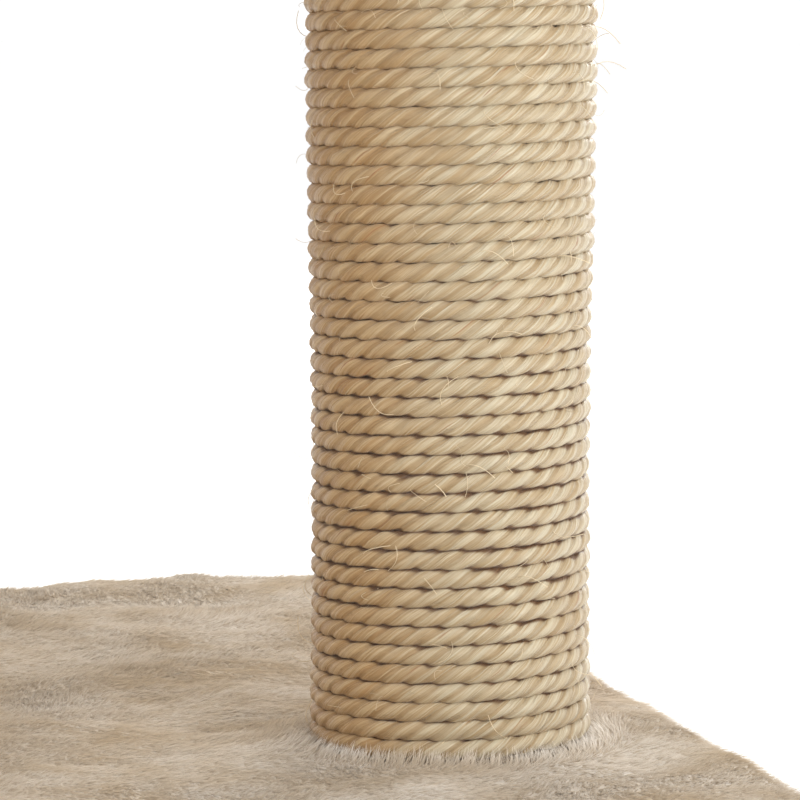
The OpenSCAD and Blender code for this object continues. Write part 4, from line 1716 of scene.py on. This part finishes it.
@dataclass
class Roll:
    """The padded roll round the perch's edge."""

    radius: float = 28.0 * MM
    slim: float = 3.5 * MM
    turn_r: float = 60.0 * MM
    voxel: float = 5.0 * MM
    frames: int = 18
    pressure: float = 4.0
    cap: float = 4.5 * MM
    seam_depth: float = 2.2 * MM
    seam_at: float = -152.0
    seam_width: float = 5.0
    stitches: int = 70
    seed: int = 81

    def path(self, low: Vector, high: Vector) -> np.ndarray:
        """The roll's middle line as rows of x, y and an outward normal."""
        half = Wrap(low, high, self.turn_r, cell=6.0 * MM)
        return half.outline(0.0)

    def build(self) -> None:
        """Stuffs the roll, sews its seam, and grows its pile."""
        low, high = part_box("perch_rim")
        inset = Vector((self.radius, self.radius, 0.0))
        line = self.path(low + inset, high - inset)
        mid_z = high.z - self.radius
        tube = self.radius - self.slim
        count = 28
        rings = []
        for x, y, nx, ny in line:
            angles = FULL_TURN * np.arange(count) / count
            out, up = tube * np.cos(angles), tube * np.sin(angles)
            rings.append(np.column_stack([x + nx * out, y + ny * out, mid_z + up]))
        points = np.concatenate(rings + rings[:1])
        data = weld([(points, sheet_quads(len(line) + 1, count, ring=True))])
        data = self.stuff(data)
        floor = low.z - 1.6 * MM
        points = points_of(data)
        squash = np.minimum(points[:, 2] - floor, 0.0)
        points[:, 2] -= squash
        near = self.nearest(points, line)
        out = np.einsum("ij,ij->i", points[:, :2] - line[near, :2], line[near, 2:])
        up = points[:, 2] - mid_z
        angle = np.degrees(np.arctan2(up, out))
        along = near / len(line)
        pucker = 0.75 + 0.25 * np.sin(along * 2 * math.pi * self.stitches)
        across = (angle - self.seam_at) / self.seam_width
        groove = np.exp(-(across**2)) * pucker * self.seam_depth
        middle = np.column_stack([line[near, :2], np.full(len(points), mid_z)])
        inward = middle - points
        inward /= np.linalg.norm(inward, axis=1)[:, None]
        move_points(data, points + inward * groove[:, None])
        swell(data, 1.1 * MM, self.seed)
        points = points_of(data)
        points[:, 2] = np.maximum(points[:, 2], floor)
        move_points(data, points)
        dress_skin(data, smooth_step(floor + 0.5 * MM, floor + 3 * MM, points[:, 2]), self.seed + 2)
        pile = replace(WIDE, per_m2=1.6e5, width=0.9 * MM, seed=self.seed)
        Fleece("perch_rim_pile", pile).make(data, Slot.PADDING)
        roll = make_piece("perch_rim_roll", data, PLUSH, Slot.PADDING)
        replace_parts(roll, "perch_rim")

    @staticmethod
    def nearest(points: np.ndarray, line: np.ndarray) -> np.ndarray:
        """The number of the line's point that is nearest to each point in plan."""
        off = points[:, None, :2] - line[None, :, :2]
        return (off[..., 0] ** 2 + off[..., 1] ** 2).argmin(axis=1)

    def stuff(self, data: bpy.types.Mesh) -> bpy.types.Mesh:
        """Fills the roll with a cloth simulation and returns its mesh.

        Args:
            data: The roll before it is stuffed.

        Returns:
            The stuffed roll, whose points have moved no further than the cap.
        """
        scene = bpy.context.scene
        roll = linked("roll", data)
        remesh = roll.modifiers.new("even", "REMESH")
        remesh.mode, remesh.voxel_size = "VOXEL", self.voxel
        even = evaluated(roll)
        roll.modifiers.clear()
        roll.data = even
        start = points_of(even)
        cloth = roll.modifiers.new("stuffing", "CLOTH")
        cloth.settings.use_pressure = True
        cloth.settings.uniform_pressure_force = self.pressure
        cloth.settings.quality = 6
        cloth.settings.effector_weights.gravity = 0.0
        cloth.point_cache.frame_start, cloth.point_cache.frame_end = 1, self.frames
        for frame_number in range(1, self.frames + 1):
            scene.frame_set(frame_number)
        full = evaluated(roll)
        scene.frame_set(1)
        moved = points_of(full) - start
        far = np.linalg.norm(moved, axis=1)
        share = np.minimum(1.0, self.cap / np.maximum(far, 1e-9))
        move_points(full, start + moved * share[:, None])
        roll.modifiers.clear()
        roll.data = full
        smoother = roll.modifiers.new("round", "SUBSURF")
        smoother.levels = smoother.render_levels = 1
        made = evaluated(roll)
        bpy.data.objects.remove(roll)
        LOG.info("the stuffing moved the roll by up to %.1f mm", far.max() / MM)
        return made


@dataclass(frozen=True)
class Studio:
    """The camera, the soft lights and the pale floor."""

    lens: float = 162.0
    eye: Triple = (-0.0608, -1.0900, 0.2345)
    pitch: float = 6.03
    yaw: float = 15.0
    sky: float = 1.08
    lamps: tuple[tuple[str, Triple, float, float], ...] = (
        ("front_right", (0.95, -1.42, 0.55), 0.5, 10.0),
        ("back_right", (1.30, 1.80, 1.15), 1.4, 34.0),
    )
    floor_half: float = 40.0

    def camera(self) -> None:
        """Places the camera and makes it the scene's."""
        data = bpy.data.cameras.new("camera")
        data.lens, data.sensor_width = self.lens, 36.0
        data.clip_start, data.clip_end = 0.01, 200.0
        seen = linked("camera", data)
        seen.location = self.eye
        seen.rotation_euler = (math.radians(90.0 - self.pitch), 0.0, math.radians(-self.yaw))
        bpy.context.scene.camera = seen

    def lights(self, target: Vector) -> None:
        """A white sky all round, and large soft lights on the right."""
        scene = bpy.context.scene
        scene.view_settings.view_transform = "Standard"
        world = bpy.data.worlds.new("studio")
        world.use_nodes = True
        sky = world.node_tree.nodes["Background"].inputs
        sky["Color"].default_value = (1.0, 1.0, 1.0, 1.0)
        sky["Strength"].default_value = self.sky
        scene.world = world
        for name, place, size, power in self.lamps:
            data = bpy.data.lights.new(name, "AREA")
            data.shape, data.size, data.energy = "DISK", size, power
            lamp = linked(name, data)
            lamp.location = place
            lamp.rotation_euler = (target - Vector(place)).to_track_quat("-Z", "Y").to_euler()

    def floor(self) -> None:
        """A wide pale floor, marked as not part of the tree."""
        half = self.floor_half
        signs = ((-1, -1), (1, -1), (1, 1), (-1, 1))
        points = np.array([(half * x, half * y, 0.0) for x, y in signs])
        data = mesh_from(points, np.array([[0, 1, 2, 3]]))
        data.materials.append(FLOOR.material())
        linked("studio_floor", data)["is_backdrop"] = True


@dataclass(frozen=True)
class Hardware:
    """The boards, tubes and fasteners, whose shapes are right as they come."""

    finishes: tuple[tuple[tuple[str, ...], Finish], ...] = (
        (("_board", "condo_front", "condo_back", "condo_left", "condo_right"), BOARD),
        (("_tube",), TUBE),
        (("_plugs",), PLUG),
        (("_nuts", "_bolts", "_washers", "_screws", "_staples"), STEEL),
        (("_feet",), FOOT),
    )

    def dress(self, nodes: dict[str, bpy.types.Object]) -> None:
        """Gives each node that stays its finish."""
        for name, node in nodes.items():
            for endings, finish in self.finishes:
                if name.endswith(endings):
                    for slot in node.material_slots:
                        slot.material = finish.material()
                    LOG.info("%s: %s", name, finish.name)


def corners(box: tuple[Vector, Vector]) -> list[list[float]]:
    """A box's two corners as plain lists."""
    return [list(corner) for corner in box]


def main() -> None:
    """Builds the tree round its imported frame."""
    logging.basicConfig(level=logging.INFO, format="%(name)s: %(message)s")
    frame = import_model()
    packed = corners(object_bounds())
    studio = Studio()
    studio.camera()
    studio.lights(Vector((0.20, -0.05, 0.12)))
    studio.floor()
    Hardware().dress(frame["nodes"])
    Base().build()
    Post("lower_post_sisal", "lower_post", split=38).build()
    Condo().build()
    lower = sum(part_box("lower_post_tube"), Vector()) / 2
    upper = [sum(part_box(f"{side}_post_tube"), Vector()) / 2 for side in ("left", "right")]
    places = [(at.x, at.y) for at in upper]
    Deck(
        "platform",
        "platform_board",
        "platform_cover",
        25.0 * MM,
        1.2e5,
        71,
        dimples=[(lower.x, lower.y)],
        posts=places,
        holes=places,
    ).build()
    for side, seed in (("left", 5), ("right", 7)):
        Post(f"{side}_post_sisal", f"{side}_post", corners=12, ring=2.8 * MM, seed=seed).build()
    Deck("perch", "perch_board", "perch_cover", 83.0 * MM, 1.3e5, 76, dimples=places).build()
    Roll().build()
    {"cad": packed, "visual": corners(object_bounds())}


if __name__ == "__main__":
    main()
